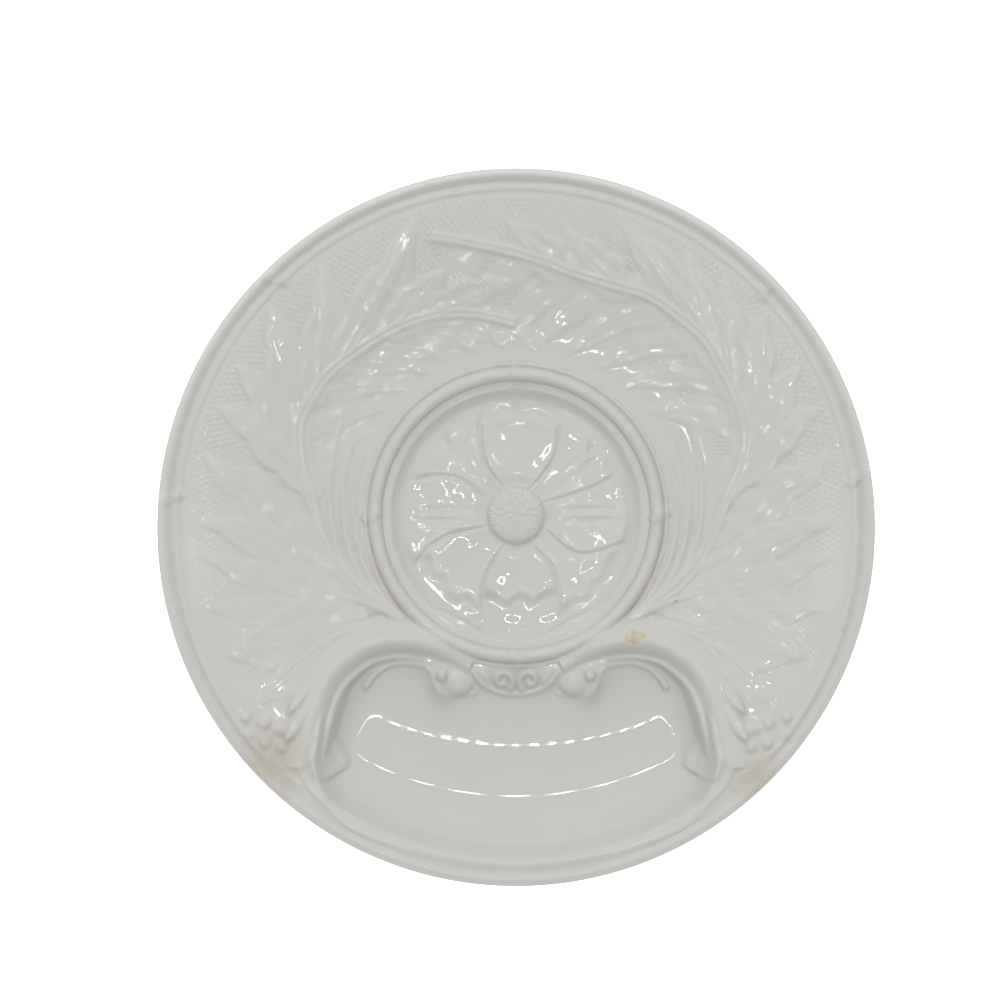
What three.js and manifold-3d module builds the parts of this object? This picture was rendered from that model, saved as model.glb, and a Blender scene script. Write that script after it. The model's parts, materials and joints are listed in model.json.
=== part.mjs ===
// A round artichoke plate in white glazed earthenware, as the clay members it is built from.
// Millimetres, +Z up. The origin lies on the table under the middle of the plate.
// The centre well lies a little behind the middle, and the sauce basin lies in front, towards -Y.

import * as THREE from 'three';
import { mergeVertices } from 'three/addons/utils/BufferGeometryUtils.js';
import Module from 'manifold-3d';

const wasm = await Module();
wasm.setup();

// Driving dimensions of the dish
const plateRadius = 120;
const footHeight = 5;
const floorThickness = 5;
const borderRise = 11.6;
const borderThickness = 5;
const shelfMargin = 4;
const ogeeShare = 0.55;

// Driving dimensions of the rim's two reeds
const rimBeadWidth = 4.4;
const rimBeadHeight = 2.4;
const innerBeadWidth = 3.4;
const innerBeadHeight = 1.7;
const rimEdgeDrop = 2.6;
const rimEdgeTaper = 1.2;

// Driving dimensions of the foot ring
const footRadius = 66;
const footWidth = 7;
const footTaper = 1;
const footMargin = 1.5;

// Driving dimensions of the centre well, its ring and its rosette
const wellRadius = 44;
const wellDepth = 3;
const wellDraft = 1;
const wellShift = 4;
const ringSetback = 1.2;
const ringWidth = 5.2;
const ringHeight = 4;
const ringLineWidth = 1.6;
const ringLineHeight = 1.3;
const buttonRadius = 9.7;
const buttonHeight = 3.4;
const petalCount = 8;
const petalInset = 7;
const diagonalPetalInset = 10;
const petalRelief = 2.1;
const petalEdge = 0.9;
const petalGap = 0.8;

// Driving dimensions of the sauce basin
const basinFloorThickness = 4.5;
const basinWall = 4.5;
const basinLip = 1.2;
const basinSlopeShare = 0.55;
const basinSpineShare = 0.6;
const basinSpineHalfAngle = 28;

// Driving dimensions of the scroll walls, the cartouche and the berry sprays
const scrollWidth = 5.2;
const scrollHeight = 6.5;
const scrollEndHeight = 2.6;
const voluteRadius = 5.6;
const voluteEndRadius = 3.8;
const voluteWidth = 2.6;
const cartoucheWidth = 3.4;
const cartoucheHeight = 3;
const berryRadius = 2.5;
const berryHeight = 2.6;
const berryCount = 4;

// Driving dimensions of the leaves and the ribbon ties
const leafRelief = 2.2;
const leafEdge = 0.8;
const leafStem = 1.6;
const leafToothDepth = 0.36;
const longLeafOuterSpread = 0.29;
const longLeafInnerSpread = 0.2;
const sideLeafSpread = 0.17;
const lowLeafSpread = 0.19;
const upLeafSpread = 0.16;
const tieLength = 6;
const tieThickness = 0.8;

// The joint of slip between two members that are luted together
const slip = 0.3;

// How finely round forms are faceted
const dishSegments = 78;
const borderSteps = 8;
const beadSteps = 4;
const ringSegments = 56;
const reedSteps = 6;
const lineSteps = 2;
const tieSteps = 2;
const basinSteps = 64;
const basinLevels = 4;

const glazeColour = 0xe9e7e1;
const glazeRoughness = 0.18;

// Sizes that follow from the driving dimensions
const wellFloorZ = footHeight + floorThickness;
const shelfZ = wellFloorZ + wellDepth;
const rimBaseZ = shelfZ + borderRise;
const rimTopZ = rimBaseZ + rimBeadHeight;
const basinFloorZ = footHeight + basinFloorThickness;
const borderRadius = plateRadius - rimBeadWidth - innerBeadWidth;
const ringInnerRadius = wellRadius + ringSetback;
const reedMiddleRadius = ringInnerRadius + ringWidth / 2;
const lineMiddleRadius = ringInnerRadius + ringWidth + ringLineWidth / 2;
const ringOuterRadius = ringInnerRadius + ringWidth + ringLineWidth;
const borderWidth = borderRadius - ringOuterRadius;
const shelfRadius = wellShift + ringOuterRadius + shelfMargin;
const basinFrontRadius = borderRadius - basinLip;
const wellCentre = new THREE.Vector3(0, wellShift, 0);

const { degToRad, lerp, clamp, smoothstep } = THREE.MathUtils;

// Height of the dish's upper side, which is flat on the shelf and an ogee on the border.
function dishTopZ(x, y) {
  const share = clamp((Math.hypot(x, y) - shelfRadius) / (borderRadius - shelfRadius), 0, 1);
  return shelfZ + borderRise * lerp(share, smoothstep(share, 0, 1), ogeeShare);
}

// The seat of a member that is luted to the shelf or the border.
function dishSeat(x, y) {
  return dishTopZ(x, y) + slip;
}

// The seat of a member that is luted to the floor of the well.
function wellSeat() {
  return wellFloorZ + slip;
}

// A point on the border: the angle is about the plate's middle, and the share runs from ring to rim.
function onBorder(degrees, share) {
  const angle = degToRad(degrees);
  const across = wellShift * Math.cos(angle);
  const ringEdge = wellShift * Math.sin(angle) + Math.sqrt(ringOuterRadius ** 2 - across ** 2);
  const radius = lerp(ringEdge, borderRadius, share);
  return new THREE.Vector3(radius * Math.cos(angle), radius * Math.sin(angle), 0);
}

function borderPoints(list) {
  return list.map(([degrees, share]) => onBorder(degrees, share));
}

function mirrored(points) {
  return points.map((point) => new THREE.Vector3(-point.x, point.y, point.z));
}

function smoothPath(points) {
  return new THREE.CatmullRomCurve3(points, false, 'centripetal');
}

function signedVolume(position, index) {
  const [a, b, c] = [new THREE.Vector3(), new THREE.Vector3(), new THREE.Vector3()];
  let volume = 0;
  for (let i = 0; i < index.length; i += 3) {
    a.fromBufferAttribute(position, index[i]);
    b.fromBufferAttribute(position, index[i + 1]);
    c.fromBufferAttribute(position, index[i + 2]);
    volume += a.dot(b.cross(c)) / 6;
  }
  return volume;
}

// Merges shared vertices, drops triangles without area and turns the faces outwards.
function closed(geometry) {
  geometry.deleteAttribute('normal');
  geometry.deleteAttribute('uv');
  const merged = mergeVertices(geometry, 1e-4);
  const position = merged.getAttribute('position');
  const all = Array.from(merged.getIndex().array);
  const index = [];
  for (let i = 0; i < all.length; i += 3) {
    const [a, b, c] = all.slice(i, i + 3);
    if (a !== b && b !== c && c !== a) {
      index.push(a, b, c);
    }
  }
  if (signedVolume(position, index) < 0) {
    index.reverse();
  }
  merged.setIndex(index);
  return merged;
}

function indexedGeometry(points, index) {
  const geometry = new THREE.BufferGeometry();
  geometry.setFromPoints(points);
  geometry.setIndex(index);
  return closed(geometry);
}

function toSolid(geometry) {
  return new wasm.Manifold(new wasm.Mesh({
    numProp: 3,
    vertProperties: new Float32Array(geometry.getAttribute('position').array),
    triVerts: new Uint32Array(geometry.getIndex().array),
  }));
}

function fromSolid(solid) {
  const mesh = solid.getMesh();
  const geometry = new THREE.BufferGeometry();
  geometry.setAttribute('position', new THREE.BufferAttribute(mesh.vertProperties, 3));
  geometry.setIndex(Array.from(mesh.triVerts));
  return closed(geometry);
}

// A solid of revolution about the vertical axis, from a profile of [radius, height] pairs.
function revolved(profile, segments) {
  const points = profile.map(([radius, height]) => new THREE.Vector2(radius, height));
  return closed(new THREE.LatheGeometry(points, segments).rotateX(Math.PI / 2));
}

// A closed skin over rings of equally many points. The cap outline is an end ring laid flat.
function loft(rings, capOutline) {
  const count = capOutline.length;
  const index = [];
  const turned = THREE.ShapeUtils.isClockWise(capOutline);
  const outline = turned ? [...capOutline].reverse() : capOutline;
  const points = rings.flatMap((ring) => (turned ? [...ring].reverse() : ring));
  for (let ring = 0; ring < rings.length - 1; ring += 1) {
    for (let i = 0; i < count; i += 1) {
      const here = ring * count + i;
      const next = ring * count + ((i + 1) % count);
      index.push(here, next, here + count);
      index.push(next, next + count, here + count);
    }
  }
  const last = (rings.length - 1) * count;
  for (const [a, b, c] of THREE.ShapeUtils.triangulateShape(outline, [])) {
    index.push(a, c, b);
    index.push(last + a, last + b, last + c);
  }
  return indexedGeometry(points, index);
}

// A profile of [radius, height] pairs swept about a vertical axis, with flat ends.
function sweptArch(profile, centre, fromDegrees, toDegrees, steps) {
  const rings = [];
  for (let step = 0; step <= steps; step += 1) {
    const angle = degToRad(lerp(fromDegrees, toDegrees, step / steps));
    rings.push(profile.map(([radius, height]) => new THREE.Vector3(
      centre.x + radius * Math.cos(angle),
      centre.y + radius * Math.sin(angle),
      height,
    )));
  }
  return loft(rings, profile.map(([radius, height]) => new THREE.Vector2(radius, height)));
}

// A patch of relief: rows of spots, each with a height on its seat and one on top.
function reliefPatch(rows) {
  const across = rows[0].length;
  const spots = rows.flat();
  const top = spots.map((spot) => new THREE.Vector3(spot.x, spot.y, spot.top));
  const bottom = spots.map((spot) => new THREE.Vector3(spot.x, spot.y, spot.bottom));
  const below = spots.length;
  const index = [];
  for (let row = 0; row < rows.length - 1; row += 1) {
    for (let column = 0; column < across - 1; column += 1) {
      const a = row * across + column;
      const b = a + 1;
      const c = b + across;
      const d = a + across;
      index.push(a, b, c, a, c, d);
      index.push(below + a, below + c, below + b, below + a, below + d, below + c);
    }
  }
  const lastRow = (rows.length - 1) * across;
  const edge = [];
  for (let column = 0; column < across - 1; column += 1) {
    edge.push(column);
  }
  for (let row = 0; row < rows.length - 1; row += 1) {
    edge.push(row * across + across - 1);
  }
  for (let column = across - 1; column > 0; column -= 1) {
    edge.push(lastRow + column);
  }
  for (let row = rows.length - 1; row > 0; row -= 1) {
    edge.push(row * across);
  }
  edge.forEach((here, i) => {
    const next = edge[(i + 1) % edge.length];
    index.push(next, here, below + here);
    index.push(next, below + here, below + next);
  });
  return indexedGeometry([...top, ...bottom], index);
}

// A strip of relief along a path in plan. Its section is given by the columns from edge to edge.
function reliefStrip({ path, stations, columns, halfWidth, thickness, seat }) {
  const rows = [];
  for (let station = 0; station <= stations; station += 1) {
    const along = station / stations;
    const middle = path.getPointAt(along);
    const tangent = path.getTangentAt(along);
    rows.push(columns.map((across) => {
      const offset = halfWidth(along, across) * across;
      const x = middle.x - tangent.y * offset;
      const y = middle.y + tangent.x * offset;
      const bottom = seat(x, y);
      return { x, y, bottom, top: bottom + thickness(along, Math.abs(across)) };
    }));
  }
  return reliefPatch(rows);
}

// The half-round top of a reed, from its inner foot to its outer foot, swollen by an allowance.
function reedArc(middle, width, height, baseZ, steps, allowance, fromDegrees = 180, toDegrees = 0) {
  const arc = [];
  for (let step = 0; step <= steps; step += 1) {
    const angle = degToRad(lerp(fromDegrees, toDegrees, step / steps));
    arc.push([
      middle + (width / 2 + allowance) * Math.cos(angle),
      baseZ + (height + allowance) * Math.sin(angle),
    ]);
  }
  return arc;
}

function innerBeadArc(allowance, toDegrees) {
  const middle = borderRadius + innerBeadWidth / 2;
  return reedArc(middle, innerBeadWidth, innerBeadHeight, rimBaseZ, beadSteps, allowance, 180, toDegrees);
}

function rimBeadArc(allowance, fromDegrees, toDegrees) {
  const middle = plateRadius - rimBeadWidth / 2;
  return reedArc(middle, rimBeadWidth, rimBeadHeight, rimBaseZ, beadSteps, allowance, fromDegrees, toDegrees);
}

// The border's line from the shelf to the rim, lowered by a thickness of clay.
function borderLine(lowered) {
  const line = [];
  for (let step = 0; step <= borderSteps; step += 1) {
    const radius = lerp(shelfRadius, borderRadius, step / borderSteps);
    line.push([radius, dishTopZ(radius, 0) - lowered]);
  }
  return line;
}

// Outline of the basin's right half at its lip, from the middle of the back round to the front.
const basinHalfOutline = [
  [-90, 0.16], [-79, 0.185], [-71, 0.28], [-63, 0.272], [-57.6, 0.18], [-50, 0.17], [-44.4, 0.268],
  [-43, 0.42], [-43.8, 0.575], [-45.6, 0.71], [-48.4, 0.823], [-52, 0.911], [-57, 0.96],
];
const basinFrontAngles = [-64, -72, -81, -90];

function basinLip2d() {
  const right = borderPoints(basinHalfOutline);
  for (const degrees of basinFrontAngles) {
    const angle = degToRad(degrees);
    right.push(new THREE.Vector3(basinFrontRadius * Math.cos(angle), basinFrontRadius * Math.sin(angle), 0));
  }
  const left = mirrored(right.slice(1, -1)).reverse();
  const curve = new THREE.CatmullRomCurve3([...right, ...left], true, 'centripetal');
  return curve.getSpacedPoints(basinSteps).slice(0, basinSteps);
}

// The arc along the middle of the basin floor that its walls slope towards.
function basinSpinePoint(point) {
  const radius = lerp(ringOuterRadius - wellShift, basinFrontRadius, basinSpineShare);
  const fromFront = Math.atan2(point.x, -point.y);
  const limit = degToRad(basinSpineHalfAngle);
  const angle = clamp(fromFront, -limit, limit);
  return new THREE.Vector3(radius * Math.sin(angle), -radius * Math.cos(angle), 0);
}

// A bowl of the basin's outline: its wall rounds into a flat floor, and it stays open at the top.
function basinBowl(floorZ, outset, openZ) {
  const lip = basinLip2d().map((point) => {
    const spine = basinSpinePoint(point);
    const outward = point.clone().sub(spine).normalize();
    return { spine, place: point.clone().addScaledVector(outward, outset), edgeZ: dishTopZ(point.x, point.y) };
  });
  const rings = [];
  for (let level = basinLevels; level >= 0; level -= 1) {
    const angle = (level / basinLevels) * (Math.PI / 2);
    const slope = basinSlopeShare * (1 - Math.cos(angle));
    rings.push(lip.map(({ spine, place, edgeZ }) => {
      const point = place.clone().lerp(spine, slope);
      return point.setZ(lerp(edgeZ, floorZ, Math.sin(angle)));
    }));
  }
  rings.push(lip.map(({ place }) => place.clone().setZ(openZ)));
  return loft(rings, rings[0].map((point) => new THREE.Vector2(point.x, point.y)));
}

function makeDish() {
  const rim = [...innerBeadArc(0, 0), ...rimBeadArc(0, 180, 0).slice(1)];
  const footEdge = footRadius + footWidth / 2 + footMargin;
  const edge = [plateRadius - rimEdgeTaper, rimBaseZ - rimEdgeDrop];
  const underside = borderLine(borderThickness).filter(([radius]) => radius > footEdge + borderThickness);
  const top = [[0, shelfZ], ...borderLine(0), ...rim.slice(1)];
  const flange = revolved([
    ...top, edge, ...underside.reverse(), [footEdge, footHeight], [0, footHeight],
  ], dishSegments);
  const underTop = revolved([
    [0, shelfZ - slip], ...borderLine(slip), [plateRadius - rimEdgeTaper, rimBaseZ - slip],
    [plateRadius - rimEdgeTaper, footHeight], [0, footHeight],
  ], dishSegments);
  const wellHollow = revolved([
    [0, wellFloorZ], [wellRadius - wellDraft, wellFloorZ], [wellRadius, shelfZ],
    [wellRadius, rimTopZ], [0, rimTopZ],
  ], ringSegments).translate(wellCentre.x, wellCentre.y, 0);
  const tub = toSolid(basinBowl(footHeight, basinWall, rimTopZ)).intersect(toSolid(underTop));
  const basinHollow = toSolid(basinBowl(basinFloorZ, 0, rimTopZ + rimBeadHeight));
  return fromSolid(toSolid(flange).add(tub).subtract(basinHollow).subtract(toSolid(wellHollow)));
}

function makeFootRing() {
  const inner = footRadius - footWidth / 2;
  const outer = footRadius + footWidth / 2;
  return revolved([
    [inner, footHeight], [inner + footTaper, 0], [outer - footTaper, 0], [outer, footHeight], [inner, footHeight],
  ], dishSegments);
}

function makeWellRing() {
  const reed = reedArc(reedMiddleRadius, ringWidth, ringHeight, shelfZ, reedSteps, 0);
  const line = reedArc(lineMiddleRadius, ringLineWidth, ringLineHeight, shelfZ, lineSteps, 0);
  const profile = [...reed, ...line.slice(1), reed[0]];
  return revolved(profile, ringSegments).translate(wellCentre.x, wellCentre.y, 0);
}

// A ribbon over the well's ring: it follows the reed and the line outside it.
function makeRingTie(degrees) {
  const halfAngle = THREE.MathUtils.radToDeg(tieLength / 2 / reedMiddleRadius);
  const over = (allowance) => [
    ...reedArc(reedMiddleRadius, ringWidth, ringHeight, shelfZ, beadSteps, allowance, 180, 45),
    ...reedArc(lineMiddleRadius, ringLineWidth, ringLineHeight, shelfZ, lineSteps / 2, allowance, 90, 0),
  ];
  const profile = [...over(slip), ...over(slip + tieThickness).reverse()];
  return sweptArch(profile, wellCentre, degrees - halfAngle, degrees + halfAngle, tieSteps);
}

// A ribbon over the rim's two reeds.
function makeRimTie(degrees) {
  const halfAngle = THREE.MathUtils.radToDeg(tieLength / 2 / plateRadius);
  const over = (allowance) => [...innerBeadArc(allowance, 60), ...rimBeadArc(allowance, 120, 60)];
  const profile = [...over(slip), ...over(slip + tieThickness).reverse()];
  return sweptArch(profile, new THREE.Vector3(), degrees - halfAngle, degrees + halfAngle, tieSteps);
}

// Ridge of the right scroll wall, from beside the volute to its outer end.
const scrollRidge = [
  [-70.6, 0.097], [-63.2, 0.068], [-53.7, 0.07], [-45.4, 0.13], [-40.9, 0.252], [-39.6, 0.416],
  [-40.7, 0.583], [-43.1, 0.731], [-46.2, 0.85],
];
const voluteCentre = [-67.6, 0.172];
const voluteFromDegrees = 395;
const voluteToDegrees = 175;
const voluteStep = 44;

function scrollPath() {
  const centre = onBorder(...voluteCentre);
  const points = [];
  for (let degrees = voluteFromDegrees; degrees >= voluteToDegrees; degrees -= voluteStep) {
    const share = (degrees - voluteToDegrees) / (voluteFromDegrees - voluteToDegrees);
    const radius = lerp(voluteRadius, voluteEndRadius, share);
    const angle = degToRad(degrees);
    points.push(new THREE.Vector3(centre.x + radius * Math.cos(angle), centre.y + radius * Math.sin(angle), 0));
  }
  return [...points, ...borderPoints(scrollRidge)];
}

function makeScrollWall(points) {
  const swell = (along) => smoothstep(along, 0.15, 0.5);
  const fall = (along) => 1 - smoothstep(along, 0.62, 1);
  return reliefStrip({
    path: smoothPath(points),
    stations: 36,
    columns: [-1, -0.6, 0, 0.6, 1],
    halfWidth: (along) => lerp(voluteWidth, scrollWidth, swell(along) * lerp(0.4, 1, fall(along))) / 2,
    thickness: (along, across) => {
      const crest = lerp(scrollEndHeight, scrollHeight, swell(along) * fall(along));
      return crest * lerp(1, 0.3, across ** 2);
    },
    seat: dishSeat,
  });
}

// The cartouche: a drop under the ring and two small arms that curl away from it.
function makeCartouche() {
  const drop = smoothPath(borderPoints([[-90, 0.04], [-90, 0.09], [-90, 0.14]]));
  const arm = borderPoints([[-89, 0.07], [-85, 0.05], [-80.5, 0.06], [-79, 0.11], [-82, 0.125]]);
  const thickness = (along, across) => cartoucheHeight * lerp(1, 0.4, across ** 2);
  const columns = [-1, 0, 1];
  const parts = [
    { path: drop, stations: 8, halfWidth: (along) => cartoucheWidth * (0.25 + 0.75 * Math.sin(Math.PI * along)) },
    { path: smoothPath(arm), stations: 12, halfWidth: () => cartoucheWidth / 3 },
    { path: smoothPath(mirrored(arm)), stations: 12, halfWidth: () => cartoucheWidth / 3 },
  ];
  const solids = parts.map((part) => toSolid(reliefStrip({ ...part, columns, thickness, seat: dishSeat })));
  return fromSolid(solids[0].add(solids[1]).add(solids[2]));
}

// A spray of round buds at the outer end of a scroll.
function makeBerrySpray(points) {
  const bud = (along) => lerp(0.45, 1, Math.abs(Math.sin(Math.PI * berryCount * along)));
  return reliefStrip({
    path: smoothPath(points),
    stations: berryCount * 4,
    columns: [-1, -0.6, 0, 0.6, 1],
    halfWidth: (along) => berryRadius * bud(along),
    thickness: (along, across) => berryHeight * bud(along) * lerp(1, 0.3, across ** 2),
    seat: dishSeat,
  });
}

function makeButton() {
  const dome = reedArc(0, 2 * buttonRadius, buttonHeight, wellSeat(), reedSteps, 0, 90, 0);
  return revolved([...dome, [0, wellSeat()]], ringSegments / 2).translate(wellCentre.x, wellCentre.y, 0);
}

// One petal of the rosette. It fills its share of the circle and rounds off at its outer end.
function makePetal(degrees, reach) {
  const start = buttonRadius + petalGap;
  const direction = new THREE.Vector3(Math.cos(degToRad(degrees)), Math.sin(degToRad(degrees)), 0);
  const spread = Math.tan(Math.PI / petalCount);
  const path = new THREE.LineCurve3(
    wellCentre.clone().addScaledVector(direction, start),
    wellCentre.clone().addScaledVector(direction, reach),
  );
  const roundedFrom = 0.62;
  return reliefStrip({
    path,
    stations: 8,
    columns: [-1, -0.5, 0, 0.5, 1],
    halfWidth: (along) => {
      const wedge = lerp(start, reach, Math.min(along, roundedFrom)) * spread - petalGap / 2;
      const past = clamp((along - roundedFrom) / (1 - roundedFrom), 0, 1);
      return wedge * Math.sqrt(1 - 0.85 * past ** 2);
    },
    thickness: (along, across) => lerp(petalEdge, petalRelief, smoothstep(along, 0, 0.6) * (1 - 0.5 * across)),
    seat: wellSeat,
  });
}

// A toothed leaf along its midrib. The teeth point towards the tip.
function makeLeaf(points, { leftSpread, rightSpread, teeth, stem }) {
  const swell = (along) => Math.sin(Math.PI * clamp((along - stem) / (1 - stem), 0, 1) ** 0.8) ** 0.8;
  const tooth = (along) => 1 - leafToothDepth * (1 - ((along * teeth) % 1));
  return reliefStrip({
    path: smoothPath(points),
    stations: teeth * 2,
    columns: [-1, -0.55, 0, 0.55, 1],
    halfWidth: (along, across) => {
      const spread = across > 0 ? leftSpread : rightSpread;
      return Math.max(leafStem / 2, spread * borderWidth * swell(along) * tooth(along));
    },
    thickness: (along, across) => lerp(leafEdge, leafRelief, (1 - across) * lerp(0.5, 1, Math.sin(Math.PI * along))),
    seat: dishSeat,
  });
}

// Midribs of the leaves, from root to tip. These three are alike on both sides.
const pairedLeaves = {
  side: { midrib: [[-21.5, 0.193], [-10, 0.468], [-2, 0.9]], spread: sideLeafSpread, teeth: 7 },
  low: { midrib: [[-30.2, 0.226], [-26.6, 0.564], [-23.3, 0.93]], spread: lowLeafSpread, teeth: 7 },
  up: { midrib: [[-3, 0.31], [5.5, 0.56], [12.5, 0.93]], spread: upLeafSpread, teeth: 6 },
};

// The two long leaves sweep round the ring on bare stems, and the right one ends outside the left one.
const longLeafRight = [
  [-31, 0.05], [-13.6, 0.12], [2, 0.2], [13.5, 0.36], [23.6, 0.53], [35.2, 0.566], [46, 0.6], [57, 0.58],
  [73, 0.55], [93, 0.66],
];
const longLeafLeft = [
  [211, 0.05], [192, 0.11], [176.5, 0.18], [166, 0.32], [157, 0.44], [139, 0.435], [130.4, 0.444],
  [121, 0.427], [112, 0.376], [102.4, 0.33], [90, 0.25],
];
const longLeafTeeth = 13;
const longLeafStem = 0.3;

const plate = new THREE.Group();

function addMember(name, geometry) {
  const glaze = new THREE.MeshStandardMaterial({ color: glazeColour, roughness: glazeRoughness, metalness: 0 });
  const member = new THREE.Mesh(geometry, glaze);
  member.name = name;
  plate.add(member);
}

addMember('dish', makeDish());
addMember('foot_ring', makeFootRing());
addMember('well_ring', makeWellRing());

const ringTies = { right: 0, top: 90, left: 180, bottom: 270 };
for (const [side, degrees] of Object.entries(ringTies)) {
  addMember(`ring_tie_${side}`, makeRingTie(degrees));
}

const rimTies = { right: 8.5, upper_right: 44, upper_left: 134, left: 175 };
for (const [side, degrees] of Object.entries(rimTies)) {
  addMember(`rim_tie_${side}`, makeRimTie(degrees));
}

addMember('scroll_wall_right', makeScrollWall(scrollPath()));
addMember('scroll_wall_left', makeScrollWall(mirrored(scrollPath())));
addMember('cartouche', makeCartouche());

const berryStalk = borderPoints([[-37.1, 0.715], [-38.6, 0.823], [-37.3, 0.93]]);
addMember('berry_spray_right', makeBerrySpray(berryStalk));
addMember('berry_spray_left', makeBerrySpray(mirrored(berryStalk)));

addMember('rosette_button', makeButton());
for (let petal = 0; petal < petalCount; petal += 1) {
  const inset = petal % 2 === 0 ? petalInset : diagonalPetalInset;
  addMember(`rosette_petal_${petal + 1}`, makePetal((petal * 360) / petalCount, wellRadius - wellDraft - inset));
}

for (const [kind, { midrib, spread, teeth }] of Object.entries(pairedLeaves)) {
  const points = borderPoints(midrib);
  const form = { leftSpread: spread, rightSpread: spread, teeth, stem: 0 };
  addMember(`leaf_${kind}_right`, makeLeaf(points, form));
  addMember(`leaf_${kind}_left`, makeLeaf(mirrored(points), form));
}

addMember('leaf_long_right', makeLeaf(borderPoints(longLeafRight), {
  leftSpread: longLeafInnerSpread, rightSpread: longLeafOuterSpread, teeth: longLeafTeeth, stem: longLeafStem,
}));
addMember('leaf_long_left', makeLeaf(borderPoints(longLeafLeft), {
  leftSpread: longLeafOuterSpread, rightSpread: longLeafInnerSpread, teeth: longLeafTeeth, stem: longLeafStem,
}));

export default plate;
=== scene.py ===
# %% [markdown]
# # Artichoke plate
# A round plate of white glazed earthenware: a well with a flower in it, a border of leaves in low
# relief, a reeded rim, and a kidney-shaped basin for the sauce. The solids from CAD hold its sizes.
# Here the clay forms are modelled finely, and one skin of glaze is pressed down over all of them,
# because a real glaze rounds every edge, fills every joint and leaves no seam between a leaf and the
# ground that it lies on.

import json
import math

import bpy
import numpy as np
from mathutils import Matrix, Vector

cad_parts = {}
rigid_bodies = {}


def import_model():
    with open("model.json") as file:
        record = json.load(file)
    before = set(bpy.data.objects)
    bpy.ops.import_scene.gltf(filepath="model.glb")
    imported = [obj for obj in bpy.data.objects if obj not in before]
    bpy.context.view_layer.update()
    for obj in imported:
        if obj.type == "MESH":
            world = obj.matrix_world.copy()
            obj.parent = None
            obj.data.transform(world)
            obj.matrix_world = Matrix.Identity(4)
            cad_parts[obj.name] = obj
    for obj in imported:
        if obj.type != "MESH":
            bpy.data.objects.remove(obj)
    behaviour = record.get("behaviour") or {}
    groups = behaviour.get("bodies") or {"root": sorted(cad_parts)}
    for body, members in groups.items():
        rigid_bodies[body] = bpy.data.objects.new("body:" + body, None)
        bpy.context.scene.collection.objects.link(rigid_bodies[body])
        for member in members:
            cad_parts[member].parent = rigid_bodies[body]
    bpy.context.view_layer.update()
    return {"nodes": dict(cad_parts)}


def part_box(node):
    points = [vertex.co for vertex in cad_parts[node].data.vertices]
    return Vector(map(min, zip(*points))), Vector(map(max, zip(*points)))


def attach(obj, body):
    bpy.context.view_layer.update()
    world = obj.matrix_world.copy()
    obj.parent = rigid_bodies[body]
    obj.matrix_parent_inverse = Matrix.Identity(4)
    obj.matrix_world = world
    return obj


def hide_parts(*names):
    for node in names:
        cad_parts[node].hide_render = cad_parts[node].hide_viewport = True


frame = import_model()

# %% [markdown]
# ## Sizes
# The main sizes are read from the solids, so that the skin goes where they are. Lengths in this
# lesson are in millimetres, which suit a plate, and become metres only when they reach a mesh.

# %% Sizes from the solids
MM = 0.001
slip = 0.3
dish_low, dish_high = (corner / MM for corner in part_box("dish"))
ring_low, ring_high = (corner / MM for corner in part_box("well_ring"))
foot_low, foot_high = (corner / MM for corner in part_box("foot_ring"))
button_low, button_high = (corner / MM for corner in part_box("rosette_button"))
plate_radius = dish_high.x
ring_outer = ring_high.x
well_y = (ring_low.y + ring_high.y) / 2
shelf_z = ring_low.z
under_z = dish_low.z
foot_outer = foot_high.x
floor_z = button_low.z - slip
button_radius = button_high.x
print("plate", plate_radius, "ring", ring_outer, "about y", well_y, "shelf", shelf_z)
print("underside", under_z, "foot", foot_outer, "from", foot_low.z, "well floor", floor_z)

# %% [markdown]
# ## The bare dish
# Under its relief the dish is plain: a flat shelf round the well, then an ogee, which is a slope that
# is flat at both ends, up to a rim with two reeds. It could be turned from one section. But the relief
# has to know how high the ground is under each of its points, so the height is a formula of the place
# on the plan, built up from a few sections that come back all over the plate.

# %% Sizes of the border and the rim
rim_bead = 4.4
inner_bead = 3.4
rim_bead_height = 1.8
inner_bead_height = 1.0
border_radius = plate_radius - rim_bead - inner_bead
border_width = border_radius - ring_outer
shelf_width = 4
shelf_radius = ring_outer + well_y + shelf_width
border_rise = 11.6
rim_base = shelf_z + border_rise
ogee_share = 0.55
clay_thickness = 5
print("border from", ring_outer, "to", border_radius, "and up to", rim_base)


# %% Sections that come back
def ease(share):
    """0 to 1 with soft ends."""
    share = np.clip(share, 0, 1)
    return share * share * (3 - 2 * share)


def bump(offset, half_width):
    """Half-round section of height 1."""
    return np.sqrt(np.clip(1 - (offset / half_width) ** 2, 0, 1))


def reed(offset, half_width):
    """Section of a reed of height 1 that runs out softly on both sides."""
    return 0.5 + 0.5 * np.cos(np.pi * np.clip(offset / half_width, -1, 1))


def ridge(offset, half_width):
    """Section of a soft ridge of height 1 that dies away on both sides."""
    return np.exp(-((offset / half_width) ** 2))


print("half way down: bump", bump(0.5, 1), "reed", reed(0.5, 1), "ridge", ridge(0.5, 1))

# %% Waviness of pressed clay
wave_rate_x, wave_rate_y = 0.52, 0.47
sway_x, sway_y = 0.8, 0.7
sway_rate_x, sway_rate_y = 0.19, 0.23


def uneven(x, y):
    """Slight waviness, 1 at most, of clay that was pressed by hand."""
    across = wave_rate_x * x + sway_x * np.sin(sway_rate_y * y)
    along = wave_rate_y * y + sway_y * np.sin(sway_rate_x * x)
    return np.sin(across) * np.cos(along)


print("waves of about", round(2 * math.pi / wave_rate_x), "mm")

# %% Height of the border
lap_depth = 3.6
lap_start, lap_fall = -47, 12
lap_end, lap_climb = -62, 10
lap_half_width, lap_side = 19, 9


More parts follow.
